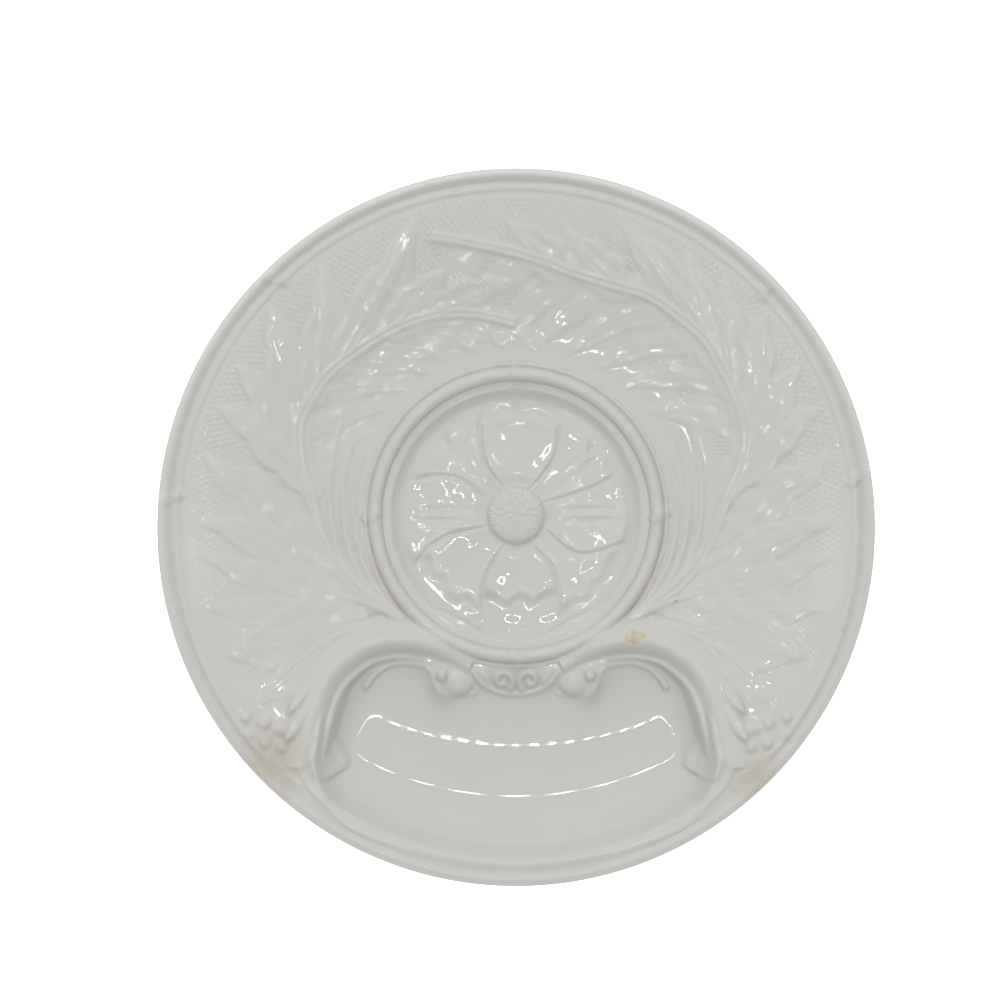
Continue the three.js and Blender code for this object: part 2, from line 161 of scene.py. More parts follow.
def lap(x, y):
    """How far the ground between the two volutes leans down towards the basin."""
    along = ease((lap_start - y) / lap_fall) * (1 - ease((lap_end - y) / lap_climb))
    return lap_depth * along * (1 - ease((np.abs(x) - lap_half_width) / lap_side))


def border_height(x, y):
    """The bare border: a flat shelf round the ring, then an ogee up to the rim."""
    share = np.clip((np.hypot(x, y) - shelf_radius) / (border_radius - shelf_radius), 0, 1)
    return shelf_z + border_rise * (share + (ease(share) - share) * ogee_share) - lap(x, y)


print("border half way up:", border_height(0, (shelf_radius + border_radius) / 2))

# %% Height of the rim
front_half_angle = math.radians(50)
front_fade = math.radians(4)


def rim_height(x, y):
    """The border with the rim's two reeds, of which the inner one stops beside the basin."""
    radius = np.hypot(x, y)
    front = ease((front_half_angle - np.abs(np.arctan2(x, -y))) / front_fade)
    inner = inner_bead_height * reed(radius - border_radius - inner_bead / 2, inner_bead / 2)
    outer = rim_bead_height * reed(radius - plate_radius + rim_bead / 2, rim_bead / 2)
    return border_height(x, y) + inner * (1 - front) + outer


print("top of the rim:", rim_height(0, plate_radius - rim_bead / 2))

# %% [markdown]
# ## Working by hand in code
# A sheet of clay that follows a line is needed again and again: for a leaf along its vein, a scroll
# along its crest, a tie across the ring. By hand one would draw a strip and pull its points about.
# Here it starts as a grid, which is laid along a smooth curve on the plan, and each of its points then
# gets a height. u runs along the line from 0 to 1, and v is the distance to the left of it.


# %% Select, read and move
def alone(item):
    """Selects one object and makes it the active one."""
    bpy.ops.object.select_all(action="DESELECT")
    item.select_set(True)
    bpy.context.view_layer.objects.active = item


def points_of(item):
    """The mesh's points, in millimetres."""
    flat = np.empty(len(item.data.vertices) * 3)
    item.data.vertices.foreach_get("co", flat)
    return flat.reshape(-1, 3) / MM


def put_points(item, points):
    """Moves the mesh's points, given in millimetres."""
    item.data.vertices.foreach_set("co", (np.asarray(points) * MM).ravel())
    item.data.update()


# %% Smooth curves on the plan
span_steps = 24
measuring_steps = 200


def even_curve(points, count):
    """A smooth curve through points on the plan, as count points at even steps."""
    known = np.array(points, float)
    known = np.vstack([2 * known[0] - known[1], known, 2 * known[-1] - known[-2]])
    t = np.linspace(0, 1, span_steps, endpoint=False)[:, None]
    spans = []
    for before, start, end, after in zip(known, known[1:], known[2:], known[3:]):
        slope = (end - before) * t
        bend = (2 * before - 5 * start + 4 * end - after) * t**2
        twist = (3 * start - before - 3 * end + after) * t**3
        spans.append(start + 0.5 * (slope + bend + twist))
    fine = np.vstack([*spans, known[-2]])
    along = np.append(0, np.cumsum(np.linalg.norm(np.diff(fine, axis=0), axis=1)))
    steps = np.linspace(0, along[-1], count)
    return np.column_stack([np.interp(steps, along, fine[:, 0]), np.interp(steps, along, fine[:, 1])])


def length_of(points):
    """Length of the smooth curve through the points."""
    return np.linalg.norm(np.diff(even_curve(points, measuring_steps), axis=0), axis=1).sum()


print("a curve over a corner of 3 by 4:", round(length_of([(0, 0), (3, 0), (3, 4)]), 2), "mm")

# %% Sheets along a curve
fine_cell = 0.3
fewest_cells = 4
clay = []


def lay_sheet(name, points, left, right, cell=fine_cell):
    """A grid laid along a curve: returns it with u, v and the place on the plan of each point."""
    rows = max(fewest_cells, round(length_of(points) / cell))
    columns = max(fewest_cells, round((left + right) / cell))
    bpy.ops.object.select_all(action="DESELECT")
    bpy.ops.mesh.primitive_grid_add(x_subdivisions=columns, y_subdivisions=rows, size=2 * MM)
    sheet = bpy.context.object
    sheet.name = name
    flat = points_of(sheet)
    u = np.clip((flat[:, 1] + 1) / 2, 0, 1)
    v = np.interp(flat[:, 0], (-1, 1), (left, -right))
    line = even_curve(points, rows + 1)
    ahead = np.gradient(line, axis=0)
    ahead /= np.linalg.norm(ahead, axis=1)[:, None]
    row = np.rint(u * rows).astype(int)
    x = line[row, 0] - ahead[row, 1] * v
    y = line[row, 1] + ahead[row, 0] * v
    clay.append(sheet)
    return sheet, u, v, x, y


def mirror_copy(item):
    """Puts a copy of a clay form on the other side of the plate."""
    alone(item)
    bpy.ops.object.duplicate()
    twin = bpy.context.object
    put_points(twin, points_of(twin) * (-1, 1, 1))
    clay.append(twin)


print("clay forms to start with:", len(clay))

# %% [markdown]
# ## The sauce basin
# The basin is a bowl with a kidney-shaped lip, hollow from front to back like a trough that bends
# round the plate. It could be pressed out of the dish by sculpting, but then its hollow would not be
# true, and the lamps that mirror in it would show that. So it is lofted: a circle with many points is
# moved onto the lip and is then extruded again and again, each time a little further in and down,
# towards the spine, the curved line where the bowl is lowest. One face closes the strip that is left.

# %% Lip of the basin
basin_front = 111
front_degrees = (-64, -72, -81, -90)
lip_points = 320
lip_steps = 2000
lip_stride = 20
lip_side = [
    (0, -58), (12, -58.5), (20.5, -58.5), (26.5, -55.5), (28.8, -50), (32, -44.8), (38, -42),
    (45, -41.7), (52, -44), (57.3, -48.2), (61.2, -53.4), (63.8, -59.5), (65.4, -66),
    (66.8, -73.5), (67.3, -80), (65.6, -86.5), (61, -92.7),
]
for degrees in front_degrees:
    angle = math.radians(degrees)
    lip_side.append((basin_front * math.cos(angle), basin_front * math.sin(angle)))
back_twin = (-lip_side[1][0], lip_side[1][1])
front_twin = (-lip_side[-2][0], lip_side[-2][1])
lip_half = even_curve([back_twin, *lip_side, front_twin], lip_steps)
lip_half = lip_half[lip_half[:, 0] >= 0]
lip_half = even_curve(lip_half[::lip_stride], lip_points // 2 + 1)
lip_loop = np.vstack([lip_half, (lip_half * (-1, 1))[-2:0:-1]])
print("lip:", len(lip_loop), "points")

# %% Hollow of the basin
basin_floor = 8.6
spine_middle = 45
spine_radius = 118
spine_half_angle = math.radians(22.4)
hollow_radius = 105
back_power, front_power = 4, 6
back_y, front_run = -58, 40
lip_turn = np.arctan2(lip_loop[:, 0], spine_middle - lip_loop[:, 1])
lip_turn = lip_turn.clip(-spine_half_angle, spine_half_angle)
spine_x = spine_radius * np.sin(lip_turn)
spine_y = spine_middle - spine_radius * np.cos(lip_turn)
spine = np.column_stack([spine_x, spine_y])
lip_z = border_height(lip_loop[:, 0], lip_loop[:, 1])
lip_reach = np.linalg.norm(lip_loop - spine, axis=1)
wall_power = back_power + (front_power - back_power) * ease((back_y - lip_loop[:, 1]) / front_run)
wall_rise = lip_z - basin_floor - lip_reach**2 / (2 * hollow_radius)


def bowl_ring(level):
    """Points of the bowl at a level, 0 at the lip and 1 at the spine, which is its lowest line."""
    plan = lip_loop + (spine - lip_loop) * level
    hollow = basin_floor + (lip_reach * (1 - level)) ** 2 / (2 * hollow_radius)
    return np.column_stack([plan, hollow + wall_rise * (1 - level) ** wall_power])


print("wall rises by", wall_rise.min().round(1), "to", wall_rise.max().round(1), "mm over the hollow")

# %% Loft the bowl
bowl_levels = 44
last_level = 0.96
bpy.ops.object.select_all(action="DESELECT")
bpy.ops.mesh.primitive_circle_add(vertices=len(lip_loop), radius=MM)
bowl = bpy.context.object
bowl.name = "bowl_clay"
put_points(bowl, bowl_ring(0))
for level in range(1, bowl_levels + 1):
    bpy.ops.object.mode_set(mode="EDIT")
    bpy.ops.mesh.extrude_edges_move()
    bpy.ops.object.mode_set(mode="OBJECT")
    points = points_of(bowl)
    points[-len(lip_loop):] = bowl_ring(last_level * level / bowl_levels)
    put_points(bowl, points)
bpy.ops.object.mode_set(mode="EDIT")
bpy.ops.mesh.edge_face_add()
bpy.ops.object.mode_set(mode="OBJECT")
print("bowl:", len(bowl.data.polygons), "faces")


# %% Height of the bowl
def bowl_height(x, y):
    """Height of the bowl under places near its wall: the nearest point of the loft."""
    levels = np.linspace(0, last_level, bowl_levels + 1)
    rings = np.vstack([bowl_ring(level) for level in levels])
    nearest = [np.argmin((rings[:, 0] - px) ** 2 + (rings[:, 1] - py) ** 2) for px, py in zip(x, y)]
    return rings[nearest, 2]


print("bowl half way out to the side:", bowl_height([40], [-75])[0].round(1))

# %% [markdown]
# ## Scroll walls
# Behind the basin stand two C-scrolls. From the leaves each rises to a broad rounded crest, and on
# the basin's side it falls past one thin reed. At its inner end it rolls up into a volute with a
# round eye. A curve with a bevel would give one section all along, but this one swells and fades, so
# each scroll is a sheet along its crest whose height follows both u and v. The other scroll is its
# mirror image, made once and copied.

# %% Scroll crest
scroll_line = [
    (15.2, -47.5), (21.8, -43.2), (29, -39.8), (36, -38.3), (43, -38.4), (51.2, -40.4), (58, -44.9),
    (62.8, -49.8), (65.8, -55.2), (67.9, -61.5), (69.6, -68), (71.2, -75), (72.4, -81),
]
scroll_cell = 0.35
scroll_sink = 0.5
scroll_height = 4.0
scroll_end_height = 1.2
scroll_grown, scroll_fades = 0.25, 0.55
outer_foot, outer_power = 12, 1.3
inner_foot = 9
inner_reach = (0, 1, 2.2, 3.6, 4.6, 7, inner_foot)
inner_drop = (0, 0.25, 1.1, 2.7, 4.1, 5.2, 11)
scroll, u, v, x, y = lay_sheet("scroll_clay", scroll_line, outer_foot, inner_foot, scroll_cell)
crest = border_height(*even_curve(scroll_line, measuring_steps).T)
crest_z = np.interp(u, np.linspace(0, 1, measuring_steps), crest)
swell = ease(u / scroll_grown) * (1 - ease((u - scroll_fades) / (1 - scroll_fades)))
crest_z += scroll_end_height + (scroll_height - scroll_end_height) * swell
scroll_ground = border_height(x, y) - scroll_sink
outer_side = scroll_ground + (crest_z - scroll_ground) * (1 - ease(v / outer_foot)) ** outer_power
print("crest up to", crest_z.max().round(1))

# %% Reed on the scroll's inner side
thin_reed_place = 6.2
thin_reed_half = 1.3
thin_reed_height = 0.9
thin_reed_end = 0.8
thin_reed = thin_reed_height * reed(-v - thin_reed_place, thin_reed_half)
thin_reed *= 1 - ease((u - thin_reed_end) / (1 - thin_reed_end))
inner_side = crest_z - np.interp(-v, inner_reach, inner_drop) + thin_reed
put_points(scroll, np.column_stack([x, y, np.where(v > 0, outer_side, inner_side)]))
mirror_copy(scroll)
print("scroll walls:", len(clay))

# %% Volute with its eye
knob_root = 2


def dome(name, middle_x, middle_y, radius, lift, height):
    """A round knob, whose foot lies at lift over the border."""
    line = [(middle_x - radius, middle_y), (middle_x, middle_y), (middle_x + radius, middle_y)]
    sheet, u, v, x, y = lay_sheet(name, line, radius, radius)
    base = border_height(middle_x, middle_y) + lift
    knob = (height + knob_root) * bump(np.hypot(x - middle_x, y - middle_y), radius) - knob_root
    put_points(sheet, np.column_stack([x, y, base + knob]))
    return sheet


mirror_copy(dome("volute_clay", 20, -51.4, radius=6.2, lift=0.3, height=0.9))
mirror_copy(dome("eye_clay", 25.2, -50.2, radius=2.5, lift=0.3, height=2.2))
print("scroll forms with volutes:", len(clay))

# %% Inner arc
arc_line = [(28.5, -49.5), (31, -47.6), (35, -46.6), (40, -46.4), (45, -48), (49, -51.4), (51.4, -55)]
arc_reach = 1.4
arc_half, arc_widens = 0.7, 0.7
arc_height, arc_rises = 0.8, 0.9
arc_sink = 0.3
arc_sheet, u, v, x, y = lay_sheet("arc_clay", arc_line, arc_reach, arc_reach)
arc_relief = (arc_height + arc_rises * u) * bump(v, arc_half + arc_widens * u)
put_points(arc_sheet, np.column_stack([x, y, bowl_height(x, y) - arc_sink + arc_relief]))
mirror_copy(arc_sheet)
print("arc:", round(length_of(arc_line), 1), "mm long")

# %% Tongue at the scroll's outer end
tongue_line = [(66.8, -59), (66.6, -67), (65, -75), (61, -83.5)]
tongue_reach = 7.4
tongue_half, tongue_widens = 3, 4.2
tongue_round, tongue_end = 0.82, 0.19
tongue_height, tongue_sink = 2.2, 0.5
flute_depth, flute_rate = 0.25, 1.3
no_width = 0.01
tongue, u, v, x, y = lay_sheet("tongue_clay", tongue_line, tongue_reach, tongue_reach, scroll_cell)
rounded = bump(np.clip(u - tongue_round, 0, 1), tongue_end) ** 0.5
width = (tongue_half + tongue_widens * ease(u)) * rounded + no_width
tongue_z = bowl_height(x, y) - tongue_sink + tongue_height * np.clip(1 - (v / width) ** 4, -0.5, 1)
tongue_z += flute_depth * np.cos(v * flute_rate)
put_points(tongue, np.column_stack([x, y, tongue_z]))
mirror_copy(tongue)
print("tongue up to", tongue_z.max().round(1))

# %% Line along the front lip
front_half_line = [(73, -74), (70.6, -84), (63, -93), (53.4, -101), (30, -109)]
front_line = [(-px, py) for px, py in front_half_line]
front_line += [(0, -113), *front_half_line[::-1]]
lip_line_reach, lip_line_half = 1.3, 1.35
lip_line_height, lip_line_sink = 0.9, 0.3
lip_line, u, v, x, y = lay_sheet("lip_line_clay", front_line, lip_line_reach, lip_line_reach)
lip_line_z = border_height(x, y) - lip_line_sink + lip_line_height * bump(v, lip_line_half)
put_points(lip_line, np.column_stack([x, y, lip_line_z]))
print("forms round the basin:", len(clay))

# %% [markdown]
# ## Leaves
# The border carries big toothed leaves, as an artichoke or an acanthus has. Each long leaf has a
# double midrib that bends round the ring, and its lobes leave it like the barbs of a flame: they run
# straight on where the midrib bends away. They could be drawn as outlines and extruded, but then they
# would be flat with hard edges. So a lobe is a low sheet along its vein, with a toothed edge that is
# rolled a little, a double vein, a furrow on each side and one side tucked under its neighbour. Two
# of the short leaves are faintly granular towards their tips.

# %% Relief of a lobe
lobe_cell = 0.4
lobe_margin = 1.1
lobe_start, lobe_lean, lobe_fullness = 0.05, 0.85, 0.75
tooth_step, tooth_power, tooth_share = 0.45, 0.7, 0.24
edge_run, edge_low, edge_rise = 2.6, 0.2, 0.7
roll_place, roll_half, roll_height = 1.1, 0.7, 0.3
vein_place, vein_half, vein_height, vein_fades = 0.9, 0.45, 0.45, 0.7
furrow_place, furrow_half, furrow_depth = 0.45, 1.1, 0.25
leaf_wave, leaf_wave_run = 0.16, 2
leaf_grain_pitch, leaf_grain_start, leaf_grain_run = 1.9, 0.4, 0.2
leaf_sink = 0.15


def lobe_sheet(name, vein, half_width, lift=0.9, teeth=3, tuck=0.3, grain=0):
    """A toothed lobe along its vein; tuck lowers its left side, grain roughens its outer part."""
    reach = half_width * lobe_margin
    sheet, u, v, x, y = lay_sheet(name, vein, reach, reach, lobe_cell)
    side = np.abs(v)
    tooth = np.abs(np.sin(np.pi * (u * teeth + np.where(v > 0, 0, tooth_step)))) ** tooth_power
    outline = np.sin(np.pi * (lobe_start + (1 - lobe_start) * u) ** lobe_lean) ** lobe_fullness
    width = half_width * outline * (1 - tooth_share + tooth_share * tooth)
    inside = np.minimum(width - side, (1 - u) * half_width * 2)
    form = edge_low + edge_rise * ease(inside / edge_run)
    form += roll_height * ridge(inside - roll_place, roll_half)
    form += vein_height * ridge(side - vein_place, vein_half) * (1 - vein_fades * u)
    form -= furrow_depth * ridge(side - furrow_place * width, furrow_half) * np.sin(np.pi * u)
    relief = lift * form - tuck * v / half_width
    relief += leaf_wave * uneven(x, y) * ease(inside / leaf_wave_run)
    grains = np.sin(2 * np.pi * x / leaf_grain_pitch) * np.sin(2 * np.pi * y / leaf_grain_pitch)
    relief += grain * grains * ease((u - leaf_grain_start) / leaf_grain_run)
    relief = np.where(inside > 0, relief, inside - leaf_sink)
    put_points(sheet, np.column_stack([x, y, border_height(x, y) + relief]))
    return sheet


print("a lobe's vein stands", vein_height, "of its lift above its face")

# %% Lobe that leaves a midrib
midrib_steps = 200
look_ahead = 2
run_on = 0.4


def swept_lobe(name, midrib, share, tip, half_width, **form):
    """A lobe that starts along a midrib at a share of its length and bends out to its tip."""
    line = even_curve(midrib, midrib_steps + 1)
    index = round(share * midrib_steps)
    start = line[index]
    ahead = line[min(index + look_ahead, midrib_steps)] - line[max(index - look_ahead, 0)]
    ahead /= np.linalg.norm(ahead)
    reach = np.linalg.norm(np.array(tip) - start)
    bend = start + ahead * reach * run_on
    vein = [start, (start + bend) / 2, (bend + np.array(tip)) / 2, tip]
    return lobe_sheet(name, vein, half_width, **form)


print("a lobe runs straight on for", run_on, "of its reach")

# %% Lines of the long leaves
left_midrib = [
    (-41, -30), (-56, -19), (-64.5, -6), (-69, 9), (-72.5, 22), (-73, 33.5), (-69.2, 42.8),
    (-62.7, 51.8), (-52.5, 59.8), (-41.3, 66.7), (-29.2, 71), (-14.4, 72), (0, 69),
]
right_midrib = [
    (41, -30), (56, -19), (65, -6), (71, 9), (76, 22), (77.2, 33.3), (73.5, 45.3), (67.9, 55.5),
    (63.3, 63), (54.9, 70.5), (43.8, 78), (31.7, 81.5), (18, 86), (2, 91.5), (-14, 95), (-29, 97.4),
]
left_tips = [
    (0.3, (-101, 41)), (0.37, (-94, 55)), (0.43, (-83, 75)), (0.5, (-65, 88)), (0.57, (-33, 105)),
    (0.72, (-24, 87)), (0.8, (0, 83)),
]
right_tips = [
    (0.24, (102, 40)), (0.3, (95, 54)), (0.35, (83, 72)), (0.4, (70, 83)), (0.45, (57, 93)),
    (0.5, (35, 102)), (0.66, (17, 100)), (0.76, (-3, 103)),
]
print("long leaves:", round(length_of(left_midrib)), "and", round(length_of(right_midrib)), "mm")

# %% Long leaves
outer_lobe_half, outer_tuck = 8.5, 0.35
inner_lobe_half, inner_tuck, inner_lift = 6.5, -0.1, 0.35
inner_lobes, inner_first, inner_step = 8, 0.32, 0.08
inner_turn = math.radians(25)
inner_tip_radius = 55.5
rib_reach, rib_body = 2.4, 0.7
rib_place, rib_half, rib_height, rib_fades = 1.15, 0.6, 1.1, 0.5
for midrib, tips, rim_side in ((left_midrib, left_tips, -1), (right_midrib, right_tips, 1)):
    for share, tip in tips:
        swept_lobe("lobe_clay", midrib, share, tip, outer_lobe_half, tuck=outer_tuck * rim_side)
    for index in range(inner_lobes):
        share = inner_first + inner_step * index
        start_x, start_y = even_curve(midrib, midrib_steps + 1)[round(share * midrib_steps)]
        angle = math.atan2(start_y - well_y, start_x) + inner_turn * rim_side
        tip = (inner_tip_radius * math.cos(angle), well_y + inner_tip_radius * math.sin(angle))
        inner_form = dict(lift=inner_lift, teeth=2, tuck=inner_tuck * rim_side)
        swept_lobe("inner_lobe_clay", midrib, share, tip, inner_lobe_half, **inner_form)
    rib, u, v, x, y = lay_sheet("midrib_clay", midrib, rib_reach, rib_reach)
    rib_z = rib_height * ridge(np.abs(v) - rib_place, rib_half) * (1 - rib_fades * u)
    rib_z += rib_body * (1 - (np.abs(v) / rib_reach) ** 2)
    put_points(rib, np.column_stack([x, y, border_height(x, y) + rib_z]))
print("clay forms with the long leaves:", len(clay))

# %% Short leaves
short_tuck, short_teeth = -0.3, 4
short_leaves = [
    ([(64, -8), (78.4, 1.8), (88, 12), (99, 18.8), (105, 26)], 8, 0.8, 0),
    ([(46, -27), (60.8, -21), (72, -15.6), (81, -9), (88, -3.6), (106, 2)], 9, 0.9, 0),
    ([(47, -28), (62, -25), (80, -20), (94, -14), (107, -9)], 7, 0.7, 0.12),
    ([(50, -30), (66, -31), (84, -29), (104, -27)], 7.5, 0.6, 0),
    ([(50, -31), (64, -34.5), (80, -39), (97, -43)], 13, 0.8, 0.16),
    ([(54, -33), (66, -42), (77, -52), (87, -60)], 7, 0.5, 0),
    ([(54, -33), (64, -41), (72, -50), (79, -60)], 4.5, 0.9, 0),
]
for vein, half_width, lift, grain in short_leaves:
    short_form = dict(lift=lift, teeth=short_teeth, tuck=short_tuck, grain=grain)
    mirror_copy(lobe_sheet("short_leaf_clay", vein, half_width, **short_form))
print("clay forms with the short leaves:", len(clay))

# %% Stems beside the ring
stem_lines = [
    [(38, -31.5), (46, -22.5), (51.8, -12), (54.4, 0), (54.6, 12), (52, 24)],
    [(39, -31.5), (49.5, -21.8), (55.8, -10), (58.4, 3), (58.2, 16), (55, 30)],
    [(40, -31), (53, -20.2), (60, -8), (62.8, 6), (62.4, 20), (59, 36)],
    [(43, -29), (58, -23.5), (72, -20.5), (86, -17.5)],
    [(45, -31.5), (60, -36.5), (72, -44), (82, -53)],
]
stem_reach, stem_half, stem_thins = 1.9, 1.85, 0.75
stem_height, stem_falls, stem_sink = 2.0, 0.4, 0.5
for line in stem_lines:
    stem, u, v, x, y = lay_sheet("stem_clay", line, stem_reach, stem_reach)
    stem_z = stem_height * bump(v, stem_half * (1 - stem_thins * u)) * (1 - stem_falls * u)
    put_points(stem, np.column_stack([x, y, border_height(x, y) - stem_sink + stem_z]))
    mirror_copy(stem)
print("clay forms with the stems:", len(clay))

# %% [markdown]
# ## The well and its flower
# The ring and the well are turned, so they come from a section. The flower has eight petals, and no
# two are alike, so one petal turned round eight times would look stamped. What the eye sees first are
# the valleys between them. So the eight valleys are drawn from the button outwards, and each petal is
# a sheet lofted between two of them: it is cupped, drops at a ruffled fold, and may have ribs or a
# cleft in its end.

# %% Section of the well
ring_width = 5.2
ring_height = 2.9
line_width = 1.6
line_height = 0.6
ring_middle = ring_outer - line_width - ring_width / 2
ring_half = ring_width / 2 - 0.2
line_middle = ring_outer - line_width / 2
inner_line_middle = ring_middle - ring_width / 2 - 2.6
wall_run = 5
wall_foot = inner_line_middle - 3.6
notch_depth, notch_half = 3.4, 1.7


def well_height(x, y):
    """The turned well with its ring and two fine lines; the inner one has a notch at the back."""
    radius = np.hypot(x, y - well_y)
    wall = floor_z + (shelf_z - floor_z) * ease((radius - wall_foot) / wall_run)
    ring = ring_height * bump(radius - ring_middle, ring_half)
    notch = notch_depth * ridge(x, notch_half) * (y > well_y)
    outer_line = reed(radius - line_middle, line_width / 2)
    inner_line = reed(radius + notch - inner_line_middle, line_width / 2)
    return wall + ring + line_height * (outer_line + inner_line)


print("top of the ring:", well_height(0, well_y - ring_middle))

# %% Valleys between the petals
valleys = [
    [(9.6, 4.2), (19, 6.8), (28.4, 10.3), (37.5, 16.5)],
    [(5.4, 9.4), (11.8, 17.4), (14.2, 25), (14.4, 37.5)],
    [(-4.6, 9.8), (-9.5, 16.2), (-11.8, 24.5), (-12.2, 38.5)],
    [(-9.6, 4.6), (-16.6, 10.9), (-26, 13.3), (-38.5, 11)],
    [(-10, -3.9), (-21.3, -6.3), (-29.6, -11), (-36.5, -19.5)],
    [(-3.6, -10), (-9.2, -18.6), (-11.3, -26.4), (-11.6, -38)],
    [(4.8, -9.8), (11.4, -16.5), (14, -24.5), (14, -37)],
    [(9.8, -4.6), (17.8, -11.6), (25, -13), (38.5, -8.6)],
]
petal_rows = 90
petal_columns = 70


def loft_sheet(name, right_side, left_side, arch):
    """A grid lofted between two curves from the button outwards; arch rounds its outer end."""
    bpy.ops.object.select_all(action="DESELECT")
    cells = dict(x_subdivisions=petal_columns, y_subdivisions=petal_rows)
    bpy.ops.mesh.primitive_grid_add(**cells, size=2 * MM)
    sheet = bpy.context.object
    sheet.name = name
    clay.append(sheet)
    flat = points_of(sheet)
    u = np.clip((flat[:, 1] + 1) / 2, 0, 1)
    w = np.clip(flat[:, 0], -1, 1)
    row = np.rint(u * petal_rows).astype(int)
    right = even_curve(right_side, petal_rows + 1)[row]
    left = even_curve(left_side, petal_rows + 1)[row]
    middle = (left + right) / 2
    half_width = np.linalg.norm(left - right, axis=1) / 2
    outwards = middle / np.linalg.norm(middle, axis=1)[:, None]
    plan = middle + (right - left) / 2 * w[:, None] + outwards * (arch * u * (1 - w**2))[:, None]
    return sheet, u, w, half_width, plan


print("valleys:", [round(length_of(valley)) for valley in valleys], "mm long")

# %% Relief of a petal
petal_start, petal_climb = 0.3, 5
petal_cup = 0.5
petal_wave = 0.12
ruffle_rate, second_ruffle_rate, second_ruffle = 9, 5.5, 0.6
cleft_length, cleft_half = 3.5, 0.14
fold_run, fold_fall = 3, 3.5
fold_height, fold_half = 0.35, 1.4
petal_rib_height, petal_rib_pitch = 0.3, 4
valley_half, valley_depth, valley_fades = 1.1, 0.75, 0.8
tip_run = 0.16


def petal(name, right_side, left_side, arch, lift, fold, drop, ruffle, ribs=0, rib_axis=0, cleft=0):
    """A cupped petal: it drops at a ruffled fold, ribs run along it, and a cleft parts its end."""
    sheet, u, w, half_width, plan = loft_sheet(name, right_side, left_side, arch)
    x, y = plan.T
    reach = np.hypot(x, y)
    ruffled = np.cos(w * ruffle_rate) + second_ruffle * np.sin(w * second_ruffle_rate + fold)
    past = reach - fold + ruffle * ruffled + cleft * cleft_length * ridge(w, cleft_half)
    relief = lift * ease((reach - button_radius - petal_start) / petal_climb)
    relief += petal_cup * w**2 * (1 - ease(past / fold_run)) + petal_wave * uneven(x, y)
    turn = math.radians(rib_axis)
    rib_offset = y * math.cos(turn) - x * math.sin(turn)
    rib_waves = np.cos(2 * np.pi * rib_offset / petal_rib_pitch) * ridge(rib_offset, petal_rib_pitch)
    relief += petal_rib_height * ribs * rib_waves * np.sin(np.pi * u) ** 3
    relief += fold_height * ridge(past, fold_half) - drop * ease(past / fold_fall)
    side_gap = half_width * (1 - np.abs(w))
    valley = (1 - ease(side_gap / valley_half)) * (1 - valley_fades * ease(past / fold_run))
    relief *= ease((1 - u) / tip_run) * (1 - valley_depth * valley)
    put_points(sheet, np.column_stack([x, well_y + y, floor_z + relief]))


print("a petal is cupped by", petal_cup, "mm and its fold stands", fold_height, "mm high")

# %% Eight petals
petal_forms = [
    dict(arch=9, lift=0.7, fold=34, drop=0.4, ruffle=0.5, ribs=0.5, rib_axis=38, cleft=1),
    dict(arch=3, lift=0.9, fold=32.5, drop=0.8, ruffle=0.15),
    dict(arch=9, lift=0.7, fold=35, drop=0.4, ruffle=0.5, cleft=1),
    dict(arch=4, lift=0.8, fold=38, drop=0.4, ruffle=0.3, ribs=1, rib_axis=180),
    dict(arch=9, lift=0.7, fold=32, drop=0.4, ruffle=0.9),
    dict(arch=1, lift=0.9, fold=27, drop=0.8, ruffle=0.9),
    dict(arch=9, lift=0.7, fold=34, drop=0.4, ruffle=0.7),
    dict(arch=4, lift=0.8, fold=37, drop=0.4, ruffle=0.3, ribs=1, rib_axis=0),
]
for index, form in enumerate(petal_forms):
    next_valley = valleys[(index + 1) % len(valleys)]
    petal(f"petal_clay_{index + 1}", valleys[index], next_valley, **form)
print("petals:", len(petal_forms))

# %% [markdown]
# ## The flower's button
# The button is a low cushion covered with seeds, as in a daisy. Real seed heads grow by the golden
# angle, which leaves no rows and no gaps, so the seeds are set that way, each turned a little off.

# %% Button with its seeds
button_sink, button_power = 1, 0.4
seed_count = 170
seed_size, seed_height = 0.3, 0.55
seed_wander, seed_wander_rate = 0.5, 2.3
golden_angle = math.pi * (3 - math.sqrt(5))
button_line = [(-button_radius, well_y), (0, well_y), (button_radius, well_y)]
button, u, v, x, y = lay_sheet("button_clay", button_line, button_radius, button_radius)
number = np.arange(1, seed_count)
seed_reach = button_radius * np.sqrt(number / seed_count)
seed_angle = number * golden_angle + seed_wander * np.sin(number * seed_wander_rate)
seeds = np.zeros(len(x))
for seed_x, seed_y in zip(seed_reach * np.cos(seed_angle), well_y + seed_reach * np.sin(seed_angle)):
    seeds = np.maximum(seeds, np.exp(-((x - seed_x) ** 2 + (y - seed_y) ** 2) / seed_size))
cushion = (button_high.z - floor_z) * bump(np.hypot(x, y - well_y), button_radius) ** button_power
button_z = floor_z - button_sink + cushion + seed_height * seeds
put_points(button, np.column_stack([x, y, button_z]))
print("clay forms with the flower:", len(clay))

# %% [markdown]
# ## Ties
# Ribbons are wound over the ring at four places and over the rim at four places. Each could be a
# curve with a flat section, but it has to lie on the reeds that it crosses. So it is a short sheet
# that runs across at a slant, and its height is that of the reeds plus the ribbon.

# %% Ribbon ties
ribbon_half = 2.2
ribbon_height, ribbon_fall, ribbon_power = 0.75, 1.5, 6


